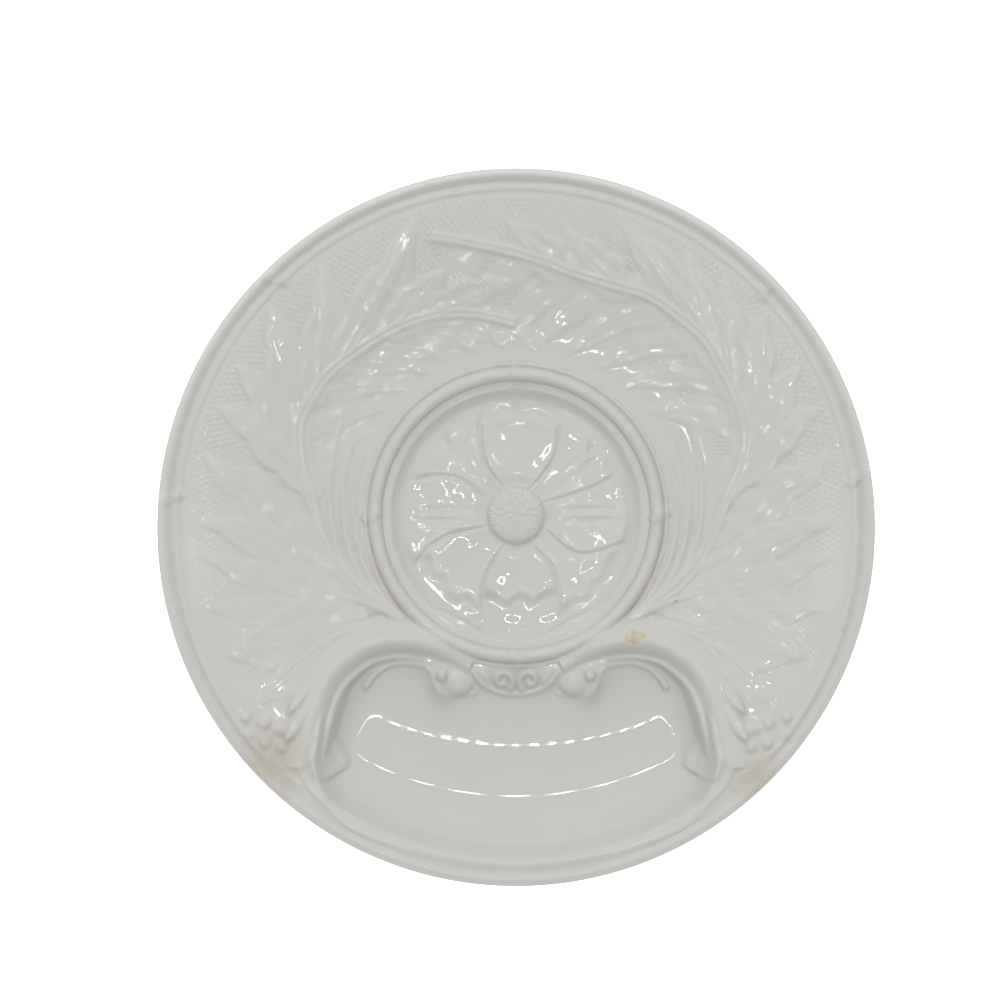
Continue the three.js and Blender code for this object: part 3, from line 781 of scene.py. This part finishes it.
def tie(name, degrees, centre_y, start, end, slant, height):
    """A ribbon across a ring or a rim, from one radius to another; height is the form under it."""
    line = []
    for share, radius in ((-1, start), (0, (start + end) / 2), (1, end)):
        angle = math.radians(degrees + share * slant)
        line.append((radius * math.cos(angle), centre_y + radius * math.sin(angle)))
    sheet, u, v, x, y = lay_sheet(name, line, ribbon_half, ribbon_half)
    ribbon = ribbon_height - ribbon_fall * (np.abs(v) / ribbon_half) ** ribbon_power
    put_points(sheet, np.column_stack([x, y, height(x, y) + ribbon]))


ring_slant, rim_slant = 2, 1.2
ring_start = ring_middle - ring_width / 2
rim_start, rim_end = border_radius - 0.8, plate_radius - 0.5
for degrees in (0, 90, 180, 270):
    tie("ring_tie_clay", degrees, well_y, ring_start, ring_outer, ring_slant, well_height)
for degrees in (8.5, 44, 134, 175):
    tie("rim_tie_clay", degrees, 0, rim_start, rim_end, rim_slant, rim_height)
print("clay forms with ties:", len(clay))

# %% [markdown]
# ## Husks, buds and cartouche
# Small husks and buds end the scrolls at the rim, and a little ornament of two curls on a garland
# fills the gap between the volutes. They are the smallest forms on the plate. Each takes the sheet or
# the dome that is there already, and only the curl needs a line of its own, a spiral.

# %% Husks and buds
groove_depth, groove_half = 0.5, 0.45
husk_low, husk_high = -1, 9
husk_start, husk_length, husk_fullness = 0.04, 0.93, 0.8


def husk(name, line, half_width, height):
    """A pointed husk with a groove along it."""
    sheet, u, v, x, y = lay_sheet(name, line, half_width, half_width)
    width = half_width * np.sin(np.pi * (husk_start + husk_length * u)) ** husk_fullness
    body = height * (1 - (v / width) ** 2) - groove_depth * ridge(v, groove_half)
    put_points(sheet, np.column_stack([x, y, border_height(x, y) + np.clip(body, husk_low, husk_high)]))
    return sheet


mirror_copy(husk("husk_clay", [(66.8, -49), (71.3, -55.5), (76.4, -62.5)], 3.1, 2.6))
mirror_copy(husk("husk_clay", [(69, -59), (73, -65.2), (77.4, -71.6)], 3.3, 2.8))
buds = [
    (79.5, -67.5, 3.4), (78.5, -73.5, 3.0), (84.5, -65.5, 3.2), (84, -72, 3.2), (90.5, -63.5, 2.8),
    (89.5, -69.5, 2.6),
]
for bud_x, bud_y, bud_radius in buds:
    mirror_copy(dome("bud_clay", bud_x, bud_y, bud_radius, lift=-0.4, height=1.8))
print("clay forms with husks and buds:", len(clay))

# %% Cartouche
cartouche_cell = 0.25
cartouche_sink = 0.4
curl_steps = 14
curl_middle = np.array([4.6, -52.2])
curl_turn = np.radians(np.linspace(-60, 330, curl_steps))
curl_radius = np.linspace(3.9, 0.9, curl_steps)
curl_way = np.column_stack([-np.cos(curl_turn), np.sin(curl_turn)])
curl_line = curl_middle + curl_way * curl_radius[:, None]
garland_half = [(4, -56.6), (9, -55), (12.4, -52.2), (14.6, -48.8)]
garland_line = [*garland_half[::-1], (0, -57), *((-px, py) for px, py in garland_half)]


def cord(name, line, half_width, height):
    """A thin round line of clay on the ground."""
    sheet, u, v, x, y = lay_sheet(name, line, half_width, half_width, cartouche_cell)
    cord_z = border_height(x, y) - cartouche_sink + height * bump(v, half_width + 0.02)
    put_points(sheet, np.column_stack([x, y, cord_z]))
    return sheet


mirror_copy(cord("curl_clay", curl_line, 1.2, 2))
cord("garland_clay", garland_line, 1, 1.5)
mirror_copy(husk("wing_clay", [(8.6, -53.6), (10.4, -51), (12.6, -48.4)], 1.5, 1.2))
print("clay forms in all:", len(clay))

# %% [markdown]
# ## The skin of glaze
# The sheets overlap and are open underneath, so they can't be the plate. What shows is the skin that
# lies on them. One way would be to remesh them all into one body, but that takes cubes so small that
# the reeds stay round, and millions of faces. So the skin starts as a turned body with a flat lid and
# many rings: a grid, rolled up both ways. The lid is then pressed straight down on the clay with a
# Shrinkwrap modifier. Where it meets no clay, it takes the height of the bare dish.

# %% Turn a body with a flat lid
lid_z = 40
meets_nothing = lid_z - 1
same_place = 1e-7


def turned_body(name, section, steps):
    """A closed section of (radius, height) turned about the upright axis."""
    bpy.ops.object.select_all(action="DESELECT")
    bpy.ops.mesh.primitive_grid_add(x_subdivisions=len(section), y_subdivisions=steps, size=2 * MM)
    body = bpy.context.object
    body.name = name
    flat = points_of(body)
    column = np.rint((flat[:, 0] + 1) / 2 * len(section)).astype(int) % len(section)
    row = np.rint((flat[:, 1] + 1) / 2 * steps).astype(int) % steps
    angle = row * 2 * math.pi / steps
    radius, height = np.array(section)[column].T
    put_points(body, np.column_stack([radius * np.cos(angle), radius * np.sin(angle), height]))
    bpy.ops.object.mode_set(mode="EDIT")
    bpy.ops.mesh.select_all(action="SELECT")
    bpy.ops.mesh.remove_doubles(threshold=same_place)
    bpy.ops.mesh.normals_make_consistent(inside=False)
    bpy.ops.object.mode_set(mode="OBJECT")
    print(name, "body:", len(body.data.polygons), "faces")
    return body


# %% Press a body on a form
def press_height(body, form):
    """Height at which each of the body's points, let fall from the lid, meets a form."""
    alone(body)
    bpy.ops.object.duplicate()
    probe = bpy.context.object
    points = points_of(probe)
    points[:, 2] = lid_z
    put_points(probe, points)
    press = probe.modifiers.new("press", "SHRINKWRAP")
    press.target = form
    press.wrap_method = "PROJECT"
    press.use_project_z = True
    press.use_positive_direction = False
    press.use_negative_direction = True
    bpy.ops.object.modifier_apply(modifier=press.name)
    met = points_of(probe)[:, 2]
    bpy.data.objects.remove(probe)
    print(body.name, "on", form.name, "meets", int((met < meets_nothing).sum()), "points")
    return met


# %% Join the clay
alone(clay[0])
for form in clay:
    form.select_set(True)
bpy.ops.object.join()
relief_clay = bpy.context.object
relief_clay.name = "relief_clay"
print("relief:", len(relief_clay.data.polygons), "faces")

# %% [markdown]
# ## Border and centre
# The border's rings lie closer together over the reeds, spaced like the points of a half circle, so
# that a reed is round. The ring is not in the plate's middle, so the border's inner rings are pushed
# back by the well's offset and its outer rings not at all. The centre is a second body that fills the
# ring. Underneath, the flange follows the upper side at the clay's thickness, and the bowl hangs
# below it as a tub.

# %% Turn the border
border_steps = 1440
border_rings = 122
under_ring_count = 32
half_circle = np.radians(np.linspace(180, 0, 15))
join_gap, join_step, join_edge = 0.1, 0.06, 0.01
inner_bead_middle = border_radius + inner_bead / 2
rim_bead_middle = plate_radius - rim_bead / 2
top_rings = [ring_outer - join_gap, ring_outer - join_step]
top_rings += [*np.linspace(ring_outer, border_radius, border_rings)[:-1]]
top_rings += [*(inner_bead_middle + inner_bead / 2 * np.cos(half_circle[::2]))[:-1]]
top_rings += [*(rim_bead_middle + rim_bead / 2 * np.cos(half_circle))]
edge_steps = [(0, 0.8), (0.4, 1.8), (1.2, 2.6)]
under_rings = np.linspace(plate_radius - 6, ring_outer - join_gap, under_ring_count)
foot_edge = foot_outer + 1.5
flange_run = 9


def flange_under(radius):
    """Underside of the flange, which meets the flat base beside the foot."""
    slope = border_height(radius, 0) - clay_thickness
    return under_z + (slope - under_z) * ease((radius - foot_edge) / flange_run)


section = [(radius, lid_z) for radius in top_rings]
section += [(plate_radius - inwards, rim_base - down) for inwards, down in edge_steps]
section += [(radius, flange_under(radius)) for radius in under_rings]
border = turned_body("border", section, border_steps)

# %% Press the border
basin_wall = 4.5
bare_gap = 0.05
points = points_of(border)
lid = points[:, 2] > meets_nothing
radius = np.hypot(points[:, 0], points[:, 1])
points[:, 1] += well_y * (1 - np.clip((radius - ring_outer) / border_width, 0, 1))
put_points(border, points)
in_bowl = press_height(border, bowl)
in_clay = press_height(border, relief_clay)
over_bowl = in_bowl < meets_nothing
rim_z = rim_height(points[:, 0], points[:, 1])
bare = np.where(over_bowl, np.minimum(in_bowl, rim_z), rim_z)
top = np.where(in_clay < meets_nothing, np.maximum(bare, in_clay), bare)
open_ground = lid & (top - bare < bare_gap) & ~over_bowl
tub = np.where(over_bowl, np.maximum(in_bowl - basin_wall, under_z), points[:, 2])
points[:, 2] = np.where(lid, top, np.minimum(points[:, 2], tub))
put_points(border, points)
inner_edge = radius < ring_outer - join_edge
free_lid = np.flatnonzero(lid & ~inner_edge)
border.vertex_groups.new(name="lid").add(free_lid.tolist(), 1, "REPLACE")
print("points on open ground:", int(open_ground.sum()))

# %% Turn and press the centre
centre_steps = 600
first_ring, floor_rings = 0.4, 96
well_rings = [0, *np.linspace(first_ring, ring_middle - ring_width / 2, floor_rings)]
well_rings += [*(ring_middle + ring_width / 2 * np.cos(half_circle))[1:]]
well_rings += [*(line_middle + line_width / 2 * np.cos(half_circle[::2]))[1:]]
section = [(radius, lid_z) for radius in well_rings]
section += [(ring_outer, under_z), (0, under_z)]
centre = turned_body("centre", section, centre_steps)
points = points_of(centre)
points[:, 1] += well_y
centre_lid = points[:, 2] > meets_nothing
put_points(centre, points)
in_clay = press_height(centre, relief_clay)
bare = well_height(points[:, 0], points[:, 1])
top = np.where(in_clay < meets_nothing, np.maximum(bare, in_clay), bare)
points[:, 2] = np.where(centre_lid, top, points[:, 2])
put_points(centre, points)
outer_edge = np.hypot(points[:, 0], points[:, 1] - well_y) > ring_outer - join_edge
free_lid = np.flatnonzero(centre_lid & ~outer_edge)
centre.vertex_groups.new(name="lid").add(free_lid.tolist(), 1, "REPLACE")
print("free points on the centre's lid:", len(free_lid))

# %% [markdown]
# ## Let the glaze settle
# Molten glaze runs off sharp edges and into corners. A Smooth modifier does the same. It moves points
# up and down only, so that no outline wanders on the plan, and it leaves out the two edges where the
# border and the centre meet, so that they stay together.

# %% Settle the lids
settle_rounds = 6


def settled(body, rounds):
    """Smooths the lid up and down only."""
    alone(body)
    settle = body.modifiers.new("settle", "SMOOTH")
    settle.vertex_group = "lid"
    settle.use_x = False
    settle.use_y = False
    settle.factor = 0.5
    settle.iterations = rounds
    bpy.ops.object.modifier_apply(modifier=settle.name)


for body in (border, centre):
    settled(body, settle_rounds)
for form in (bowl, relief_clay):
    bpy.data.objects.remove(form)
print("border now up to", points_of(border)[:, 2].max().round(2))

# %% [markdown]
# ## Stippled ground and granular patches
# Between the leaves the ground is stippled with rows of small raised dots, which makes the smooth
# leaves stand out. At four places it is grainier still. The dots are too fine for sheets of their
# own, and they would be lost in the settling, so they are added to the settled skin as waves: where
# two waves cross, a dot stands up. Fields and patches fade out at their edges.

# %% Stippled ground
stipple_row = 1.8
stipple_pitch = 2.05
stipple_radius = 104
stipple_height = 0.42
field_inner, field_inner_fade = 70, 3
field_outer, field_outer_fade = border_radius - 1, 0.8
field_front, field_front_fade = -30, 4
faint_front, faint_run, faint_share = -10, 50, 0.45
points = points_of(border)
x, y = points[:, 0], points[:, 1]
radius = np.hypot(x, y)
turn = np.arctan2(y, x)
round_waves = np.cos(2 * np.pi * turn * stipple_radius / stipple_pitch)
dots = round_waves * np.cos(np.pi * radius / stipple_row)
field = ease((radius - field_inner) / field_inner_fade) * ease((field_outer - radius) / field_outer_fade)
field *= ease((y - field_front) / field_front_fade)
field *= faint_share + (1 - faint_share) * ease((y - faint_front) / faint_run)
points[:, 2] += stipple_height * np.clip(dots, 0, 1) * field * open_ground
put_points(border, points)
print("points on stippled ground:", int((field * open_ground > 0.4).sum()))

# %% Granular patches
grain_pitch = 2.2
grain_height = 0.3
grain_drift, drift_rate_x, drift_rate_y = 0.5, 0.9, 1.7
patch_fade = 0.3
patches = [(-89.5, -40, 5.5, 11), (-20, 81.5, 17, 5), (96, -41, 6, 9), (40, 88, 8, 4)]
drift = grain_drift * np.sin(drift_rate_x * x + drift_rate_y * y)
cross_waves = np.cos(2 * np.pi * x / grain_pitch + drift)
grains = cross_waves * np.cos(2 * np.pi * y / grain_pitch - drift)
for patch_x, patch_y, half_x, half_y in patches:
    away = np.hypot((x - patch_x) / half_x, (y - patch_y) / half_y)
    points[:, 2] += grain_height * np.clip(grains, 0, 1) * ease((1 - away) / patch_fade) * lid
put_points(border, points)
print("granular patches:", len(patches))

# %% [markdown]
# ## A chip, and painted shade in the hollows
# On the right scroll a flake of glaze has come off and shows the yellow clay. A boolean cut would
# leave hard edges, so the skin is lowered inside a ragged outline, and a value on the mesh tells the
# material where the clay is bare. A second value says where the skin lies lower than its
# surroundings: there the colour is darkened, as painted shade. It is found by settling a copy of
# the skin further and measuring how far it moves.

# %% Chip in the glaze
chip_x, chip_y = 39.9, -37.6
chip_half_x, chip_half_y = 3.2, 2.4
chip_depth = 0.5
chip_edge = 0.16
tip_turn, tip_length, tip_power = 0.45, 0.4, 6
notches, notch_size = 5, 0.05
across = (x - chip_x) / chip_half_x
up = (y - chip_y) / chip_half_y
turn = np.arctan2(up, across)
ragged = 1 + tip_length * np.cos(turn - tip_turn).clip(0, 1) ** tip_power
ragged += notch_size * np.sin(notches * turn)
chipped = ease((1 - np.hypot(across, up) / ragged) / chip_edge) * lid
points[:, 2] -= chip_depth * chipped
put_points(border, points)
print("points in the chip:", int((chipped > 0.5).sum()))

# %% Values for the glaze
shade_rounds = 14
shade_depth = 0.4


def store(body, name, kind, values):
    """Keeps a value for each point on the mesh."""
    key = "vector" if kind == "FLOAT_VECTOR" else "value"
    body.data.attributes.new(name, kind, "POINT").data.foreach_set(key, values)


for body in (border, centre):
    alone(body)
    bpy.ops.object.duplicate()
    copy = bpy.context.object
    settled(copy, shade_rounds)
    fill = points_of(copy)[:, 2] - points_of(body)[:, 2]
    bpy.data.objects.remove(copy)
    # This value drives painted shade: the material darkens the colour where the skin lies low.
    store(body, "hollow_shade", "FLOAT", fill.clip(-shade_depth, shade_depth) / shade_depth)
    store(body, "chip", "FLOAT", chipped if body == border else np.zeros(len(fill)))
    alone(body)
    bpy.ops.object.shade_smooth()
    normals = np.empty(len(fill) * 3)
    body.data.vertex_normals.foreach_get("vector", normals)
    store(body, "glaze_normal", "FLOAT_VECTOR", normals)
    print(body.name, "fills by", fill.min().round(2), "to", fill.max().round(2), "mm")

# %% [markdown]
# ## Part the border in three
# The border is one body with more faces than a piece should have, and its nodes belong to the basin
# and to the leaves of each side. So it is parted along three radii. Each cut is closed by a wall that
# leans inwards by a hair, so that no two walls touch, and each piece keeps the normals of the whole
# skin, so that the cuts don't show in the gloss.


# %% Take off a sector
def part_off(body, name, from_degrees, to_degrees):
    """Takes a sector of the border off as a piece of its own."""
    middles = np.empty(len(body.data.polygons) * 3)
    body.data.polygons.foreach_get("center", middles)
    middles = middles.reshape(-1, 3)
    angle = (np.degrees(np.arctan2(middles[:, 1], middles[:, 0])) - from_degrees) % 360
    alone(body)
    bpy.ops.object.mode_set(mode="EDIT")
    bpy.ops.mesh.select_mode(type="FACE")
    bpy.ops.mesh.select_all(action="DESELECT")
    bpy.ops.object.mode_set(mode="OBJECT")
    body.data.polygons.foreach_set("select", angle < to_degrees - from_degrees)
    bpy.ops.object.mode_set(mode="EDIT")
    bpy.ops.mesh.separate(type="SELECTED")
    bpy.ops.mesh.select_mode(type="VERT")
    bpy.ops.object.mode_set(mode="OBJECT")
    piece = next(item for item in bpy.context.selected_objects if item != body)
    piece.name = name
    return piece


basin = part_off(border, "sauce_basin", -147, -33)
right_border = part_off(border, "leaf_border_right", -33, 90)
left_border = border
left_border.name = "leaf_border_left"
print("faces:", [len(piece.data.polygons) for piece in (basin, right_border, left_border)])

# %% Close the cuts
cut_turn = math.radians(0.15)
cut_inset = 0.8
cut_draw = 0.9


def close_cut(piece, middle_degrees):
    """Turns the two cut ends in, fills them and gives back the normals of the whole skin."""
    alone(piece)
    bpy.ops.object.mode_set(mode="EDIT")
    bpy.ops.mesh.select_all(action="DESELECT")
    bpy.ops.mesh.select_non_manifold()
    bpy.ops.mesh.extrude_edges_move()
    bpy.ops.object.mode_set(mode="OBJECT")
    turned = np.zeros(len(piece.data.vertices), bool)
    piece.data.vertices.foreach_get("select", turned)
    points = points_of(piece)
    angle = np.arctan2(points[:, 1], points[:, 0])
    to_middle = (math.radians(middle_degrees) - angle + math.pi) % (2 * math.pi) - math.pi
    angle = angle + np.sign(to_middle) * cut_turn
    radius = np.hypot(points[:, 0], points[:, 1])
    radius -= cut_draw * (radius - plate_radius + 2 * cut_inset).clip(0)
    middle_z = border_height(points[:, 0], points[:, 1]) - clay_thickness / 2
    height = points[:, 2] + cut_draw * (middle_z - points[:, 2]).clip(-cut_inset, cut_inset)
    inset = np.column_stack([radius * np.cos(angle), radius * np.sin(angle), height])
    put_points(piece, np.where(turned[:, None], inset, points))
    bpy.ops.object.mode_set(mode="EDIT")
    bpy.ops.mesh.fill_holes(sides=0)
    bpy.ops.object.mode_set(mode="OBJECT")
    normals = np.empty(len(piece.data.vertices) * 3)
    piece.data.attributes["glaze_normal"].data.foreach_get("vector", normals)
    piece.data.normals_split_custom_set_from_vertices(normals.reshape(-1, 3).tolist())


for piece, middle_degrees in ((basin, -90), (right_border, 28.5), (left_border, 151.5)):
    close_cut(piece, middle_degrees)
    print(piece.name, sum(len(face.vertices) - 2 for face in piece.data.polygons), "triangles")

# %% Finish the centre
crease = math.radians(60)
centre.name = "centre_well"
alone(centre)
bpy.ops.object.shade_smooth_by_angle(angle=crease)
print(centre.name, sum(len(face.vertices) - 2 for face in centre.data.polygons), "triangles")

# %% [markdown]
# ## Foot ring
# The plate stands on a plain ring, which a potter turns or adds while the dish lies upside down. It
# is a section turned about the plate's own axis, so the helper that made the skin makes it too.

# %% Turn the foot
foot_steps = 180
foot_section = [
    (foot_outer - 7, under_z), (foot_outer - 6.2, 0.6), (foot_outer - 5.6, 0), (foot_outer - 1.4, 0),
    (foot_outer - 0.8, 0.6), (foot_outer, under_z),
]
foot = turned_body("foot", foot_section, foot_steps)

# %% [markdown]
# ## The glaze as a material
# White glaze over yellow clay is never quite even: its tint drifts from yellowish to pinkish and
# greenish, pinholes pit it, and brown stains have crept in at the ends of the scrolls. Its colour is
# also darkened in the hollows, as painted shade. A photograph wrapped on the plate would do for one
# angle only. So all of it comes from noise on Object coordinates and from the values on the mesh, and
# it holds from every side. A few short helpers make the nodes.

# %% Start the glaze
glaze = bpy.data.materials.new("white_glaze")
glaze.use_nodes = True
nodes = glaze.node_tree.nodes
links = glaze.node_tree.links
shader = nodes["Principled BSDF"]
shader.inputs["IOR"].default_value = 1.5
glaze_place = nodes.new("ShaderNodeTexCoord").outputs["Object"]
print("glaze starts with", len(nodes), "nodes")


# %% Helpers for nodes
def feed(socket, value):
    """Sets a socket to a plain value, or links another node to it."""
    if isinstance(value, (int, float, tuple)):
        socket.default_value = value
    else:
        links.new(value, socket)


def noise(scale, detail):
    """Soft noise over the plate."""
    texture = nodes.new("ShaderNodeTexNoise")
    texture.inputs["Scale"].default_value = scale
    texture.inputs["Detail"].default_value = detail
    links.new(glaze_place, texture.inputs["Vector"])
    return texture.outputs["Fac"]


def ramp(value, *stops):
    """Grey or coloured stops along a value."""
    node = nodes.new("ShaderNodeValToRGB")
    band = node.color_ramp
    while len(band.elements) < len(stops):
        band.elements.new(0.5)
    for element, (position, colour) in zip(band.elements, stops):
        element.position = position
        element.color = colour if isinstance(colour, tuple) else (colour, colour, colour, 1)
    links.new(value, node.inputs["Fac"])
    return node.outputs["Color"]


def mixed(kind, amount, first, second):
    """Two colours put together."""
    node = nodes.new("ShaderNodeMix")
    node.data_type = "RGBA"
    node.blend_type = kind
    for socket, value in ((node.inputs[0], amount), (node.inputs[6], first), (node.inputs[7], second)):
        feed(socket, value)
    return node.outputs[2]


def attribute(name):
    """A value stored on the mesh."""
    node = nodes.new("ShaderNodeAttribute")
    node.attribute_name = name
    return node.outputs["Fac"]


def maths(kind, first, second):
    """A sum, product or comparison of two values."""
    node = nodes.new("ShaderNodeMath")
    node.operation = kind
    for socket, value in zip(node.inputs, (first, second)):
        feed(socket, value)
    return node.outputs[0]


print("helpers for nodes are ready")

# %% Tint and painted shade in the hollows
yellowish = (0.596, 0.586, 0.545, 1)
pinkish = (0.602, 0.588, 0.558, 1)
greenish = (0.599, 0.6, 0.568, 1)
cloudy = ramp(noise(55, 4), (0.34, yellowish), (0.5, pinkish), (0.66, greenish))
# Painted shade: the colour is darkened where the skin lies lower than its surroundings.
hollow_share = maths("MULTIPLY_ADD", attribute("hollow_shade"), 0.5)
painted_hollow_shade = ramp(hollow_share, (0.2, 1.0), (0.5, 0.99), (0.85, 0.945))
body_colour = mixed("MULTIPLY", 1.0, cloudy, painted_hollow_shade)
print("tint and pooling:", len(nodes), "nodes")

# %% Pinholes
pit_colour = (0.24, 0.2, 0.16, 1)
pits = nodes.new("ShaderNodeTexVoronoi")
pits.inputs["Scale"].default_value = 75
links.new(glaze_place, pits.inputs["Vector"])
clear_of_pit = ramp(pits.outputs["Distance"], (0.018, 0.0), (0.035, 1.0))
cell_without_pit = ramp(pits.outputs["Color"], (0.12, 0.0), (0.13, 1.0))
clear = maths("MAXIMUM", clear_of_pit, cell_without_pit)
speckled = mixed("MIX", clear, pit_colour, body_colour)
print("with pinholes:", len(nodes), "nodes")

# %% Stains at the scrolls' ends
stain_colour = (0.42, 0.36, 0.26, 1)
stain_spots = [((-0.082, -0.079, 0.024), 0.016), ((0.081, -0.084, 0.024), 0.012)]
stain = None
for spot, reach in stain_spots:
    distance = nodes.new("ShaderNodeVectorMath")
    distance.operation = "DISTANCE"
    links.new(glaze_place, distance.inputs[0])
    distance.inputs[1].default_value = spot
    near = ramp(maths("DIVIDE", distance.outputs["Value"], reach), (0.2, 0.75), (1.0, 0.0))
    stain = near if stain is None else maths("MAXIMUM", stain, near)
stained = mixed("MIX", maths("MULTIPLY", stain, noise(160, 4)), speckled, stain_colour)
print("stains:", len(stain_spots))

# %% Bare clay in the chip
dark_clay = (0.52, 0.46, 0.34, 1)
light_clay = (0.68, 0.61, 0.48, 1)
clay_colour = ramp(noise(420, 5), (0.35, dark_clay), (0.7, light_clay))
links.new(mixed("MIX", attribute("chip"), stained, clay_colour), shader.inputs["Base Color"])
print("with bare clay:", len(nodes), "nodes")

# %% Gloss
clay_roughness = (0.8, 0.8, 0.8, 1)
gloss = ramp(noise(60, 2), (0.3, 0.012), (0.7, 0.03))
links.new(mixed("MIX", attribute("chip"), gloss, clay_roughness), shader.inputs["Roughness"])
wavy = nodes.new("ShaderNodeBump")
wavy.inputs["Strength"].default_value = 0.25
wavy.inputs["Distance"].default_value = 0.000016
links.new(noise(260, 2), wavy.inputs["Height"])
links.new(wavy.outputs["Normal"], shader.inputs["Normal"])
print("glaze:", len(nodes), "nodes")

# %% [markdown]
# ## Dress the pieces
# Each piece gets the glaze, rides on the plate's one body and takes the place of the solids that it
# covers: the centre those of the well, each side's border the leaves and the rim ties of its side,
# and the basin the dish and all that stands round it.

# %% Dress
covered = {"sauce_basin": [], "leaf_border_right": [], "leaf_border_left": [], "centre_well": []}
for name in frame["nodes"]:
    if name.startswith(("ring", "well", "rosette")):
        covered["centre_well"].append(name)
    elif name.startswith(("leaf", "rim")):
        covered["leaf_border_right" if name.endswith("right") else "leaf_border_left"].append(name)
    elif name != "foot_ring":
        covered["sauce_basin"].append(name)
for piece in (basin, right_border, left_border, centre, foot):
    piece.data.materials.clear()
    piece.data.materials.append(glaze)
    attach(piece, "root")
    if piece.name in covered:
        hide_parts(*covered[piece.name])
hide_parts("foot_ring")
print("solids covered:", {name: len(solids) for name, solids in covered.items()})

# %% [markdown]
# ## Floor and daylight
# The plate lies on a plain white table. A floor that only reflects turns grey round the plate, so it
# glows a little. The daylight is white all round and brighter near the horizon, so that the table's
# far edge hardly shows in a low view. A large softbox at the back shades the hollows, and one
# overhead brightens what faces up. Both are hidden from the gloss, which would show them as squares.

# %% Floor
bpy.ops.object.select_all(action="DESELECT")
bpy.ops.mesh.primitive_plane_add(size=6)
floor = bpy.context.object
floor.name = "floor"
floor_white = bpy.data.materials.new("white_floor")
floor_white.use_nodes = True
floor_shader = floor_white.node_tree.nodes["Principled BSDF"]
floor_shader.inputs["Base Color"].default_value = (0.93, 0.93, 0.93, 1)
floor_shader.inputs["Roughness"].default_value = 0.9
floor_shader.inputs["Emission Color"].default_value = (1, 1, 1, 1)
floor_shader.inputs["Emission Strength"].default_value = 0.55
floor.data.materials.append(floor_white)
print("floor:", round(floor.dimensions.x, 1), "m wide")

# %% Daylight
horizon_strength, sky_strength = 0.85, 0.41
horizon_top, sky_start = 0.1, 0.3
world = bpy.data.worlds.new("studio")
world.use_nodes = True
sky_nodes = world.node_tree.nodes
sky_links = world.node_tree.links
background = sky_nodes["Background"]
background.inputs["Color"].default_value = (1, 1, 1, 1)
sky_way = sky_nodes.new("ShaderNodeSeparateXYZ")
sky_links.new(sky_nodes.new("ShaderNodeTexCoord").outputs["Generated"], sky_way.inputs[0])
sky_fade = sky_nodes.new("ShaderNodeMapRange")
sky_fade.inputs["From Min"].default_value = horizon_top
sky_fade.inputs["From Max"].default_value = sky_start
sky_fade.inputs["To Min"].default_value = horizon_strength
sky_fade.inputs["To Max"].default_value = sky_strength
sky_links.new(sky_way.outputs["Z"], sky_fade.inputs["Value"])
sky_links.new(sky_fade.outputs["Result"], background.inputs["Strength"])
bpy.context.scene.world = world
print("daylight from", horizon_strength, "at the horizon to", sky_strength, "overhead")


# %% Softboxes
def softbox(name, place, size, watts):
    """A square area light that faces the middle of the plate."""
    light = bpy.data.lights.new(name, "AREA")
    light.size = size
    light.energy = watts
    holder = bpy.data.objects.new(name, light)
    holder.location = place
    yaw = math.atan2(-place[1], -place[0])
    tilt = math.atan2(math.hypot(place[0], place[1]), place[2])
    holder.rotation_euler = (0, -tilt, yaw)
    holder.visible_glossy = False
    bpy.context.collection.objects.link(holder)
    print(name, "tilted by", round(math.degrees(tilt)), "degrees")


softbox("key", (-0.15, 1.2, 0.95), size=1.0, watts=7)
softbox("overhead", (0, 0, 1.6), size=0.5, watts=8)

# %% [markdown]
# ## Ring of lamps
# Two dotted lines of light lie in the basin, and small glints on the leaves and petals. They are one
# thing: a ring of small lamps round the camera, seen in the gloss. The hollow basin mirrors the far
# half of the ring in one line and the near half in the other. The lamps are small bright plates, and
# the ring is open at its two sides, where the lines end.

# %% Lamps
camera_place = (-0.0054, 0.0091, 0.813)
lamp_count = 84
lamp_ring_radius = 0.15
lamp_length = 0.01
lamp_width = 0.005
lamp_gap = 0.88
lamps = []
for index in range(lamp_count):
    angle = 2 * math.pi * index / lamp_count
    if abs(math.cos(angle)) > lamp_gap:
        continue
    lamp_x = camera_place[0] + lamp_ring_radius * math.cos(angle)
    lamp_y = camera_place[1] + lamp_ring_radius * math.sin(angle)
    lamp_place = (lamp_x, lamp_y, camera_place[2])
    bpy.ops.object.select_all(action="DESELECT")
    bpy.ops.mesh.primitive_plane_add(size=lamp_length, location=lamp_place, rotation=(0, 0, angle))
    bpy.context.object.scale = (1, lamp_width / lamp_length, 1)
    lamps.append(bpy.context.object)
for lamp in lamps:
    lamp.select_set(True)
bpy.ops.object.join()
print("lamps:", len(lamps))

# %% Light the lamps
lamp_ring = bpy.context.object
lamp_ring.name = "lamp_ring"
lamp_white = bpy.data.materials.new("lamp_white")
lamp_white.use_nodes = True
lamp_shader = lamp_white.node_tree.nodes["Principled BSDF"]
lamp_shader.inputs["Emission Color"].default_value = (1, 1, 1, 1)
lamp_shader.inputs["Emission Strength"].default_value = 48
lamp_ring.data.materials.append(lamp_white)
print("lamp ring:", round(lamp_ring.dimensions.y, 3), "m from front to back")

# %% [markdown]
# ## Camera
# The plate is seen straight from above, a little off its middle, through a long lens that keeps the
# rim a circle. The Standard view transform keeps white white.

# %% Camera
camera_data = bpy.data.cameras.new("camera")
camera_data.lens = 85
camera_data.sensor_width = 36
camera = bpy.data.objects.new("camera", camera_data)
camera.location = camera_place
bpy.context.collection.objects.link(camera)
bpy.context.scene.camera = camera
bpy.context.scene.view_settings.view_transform = "Standard"
print("camera:", camera_place[2], "m up")
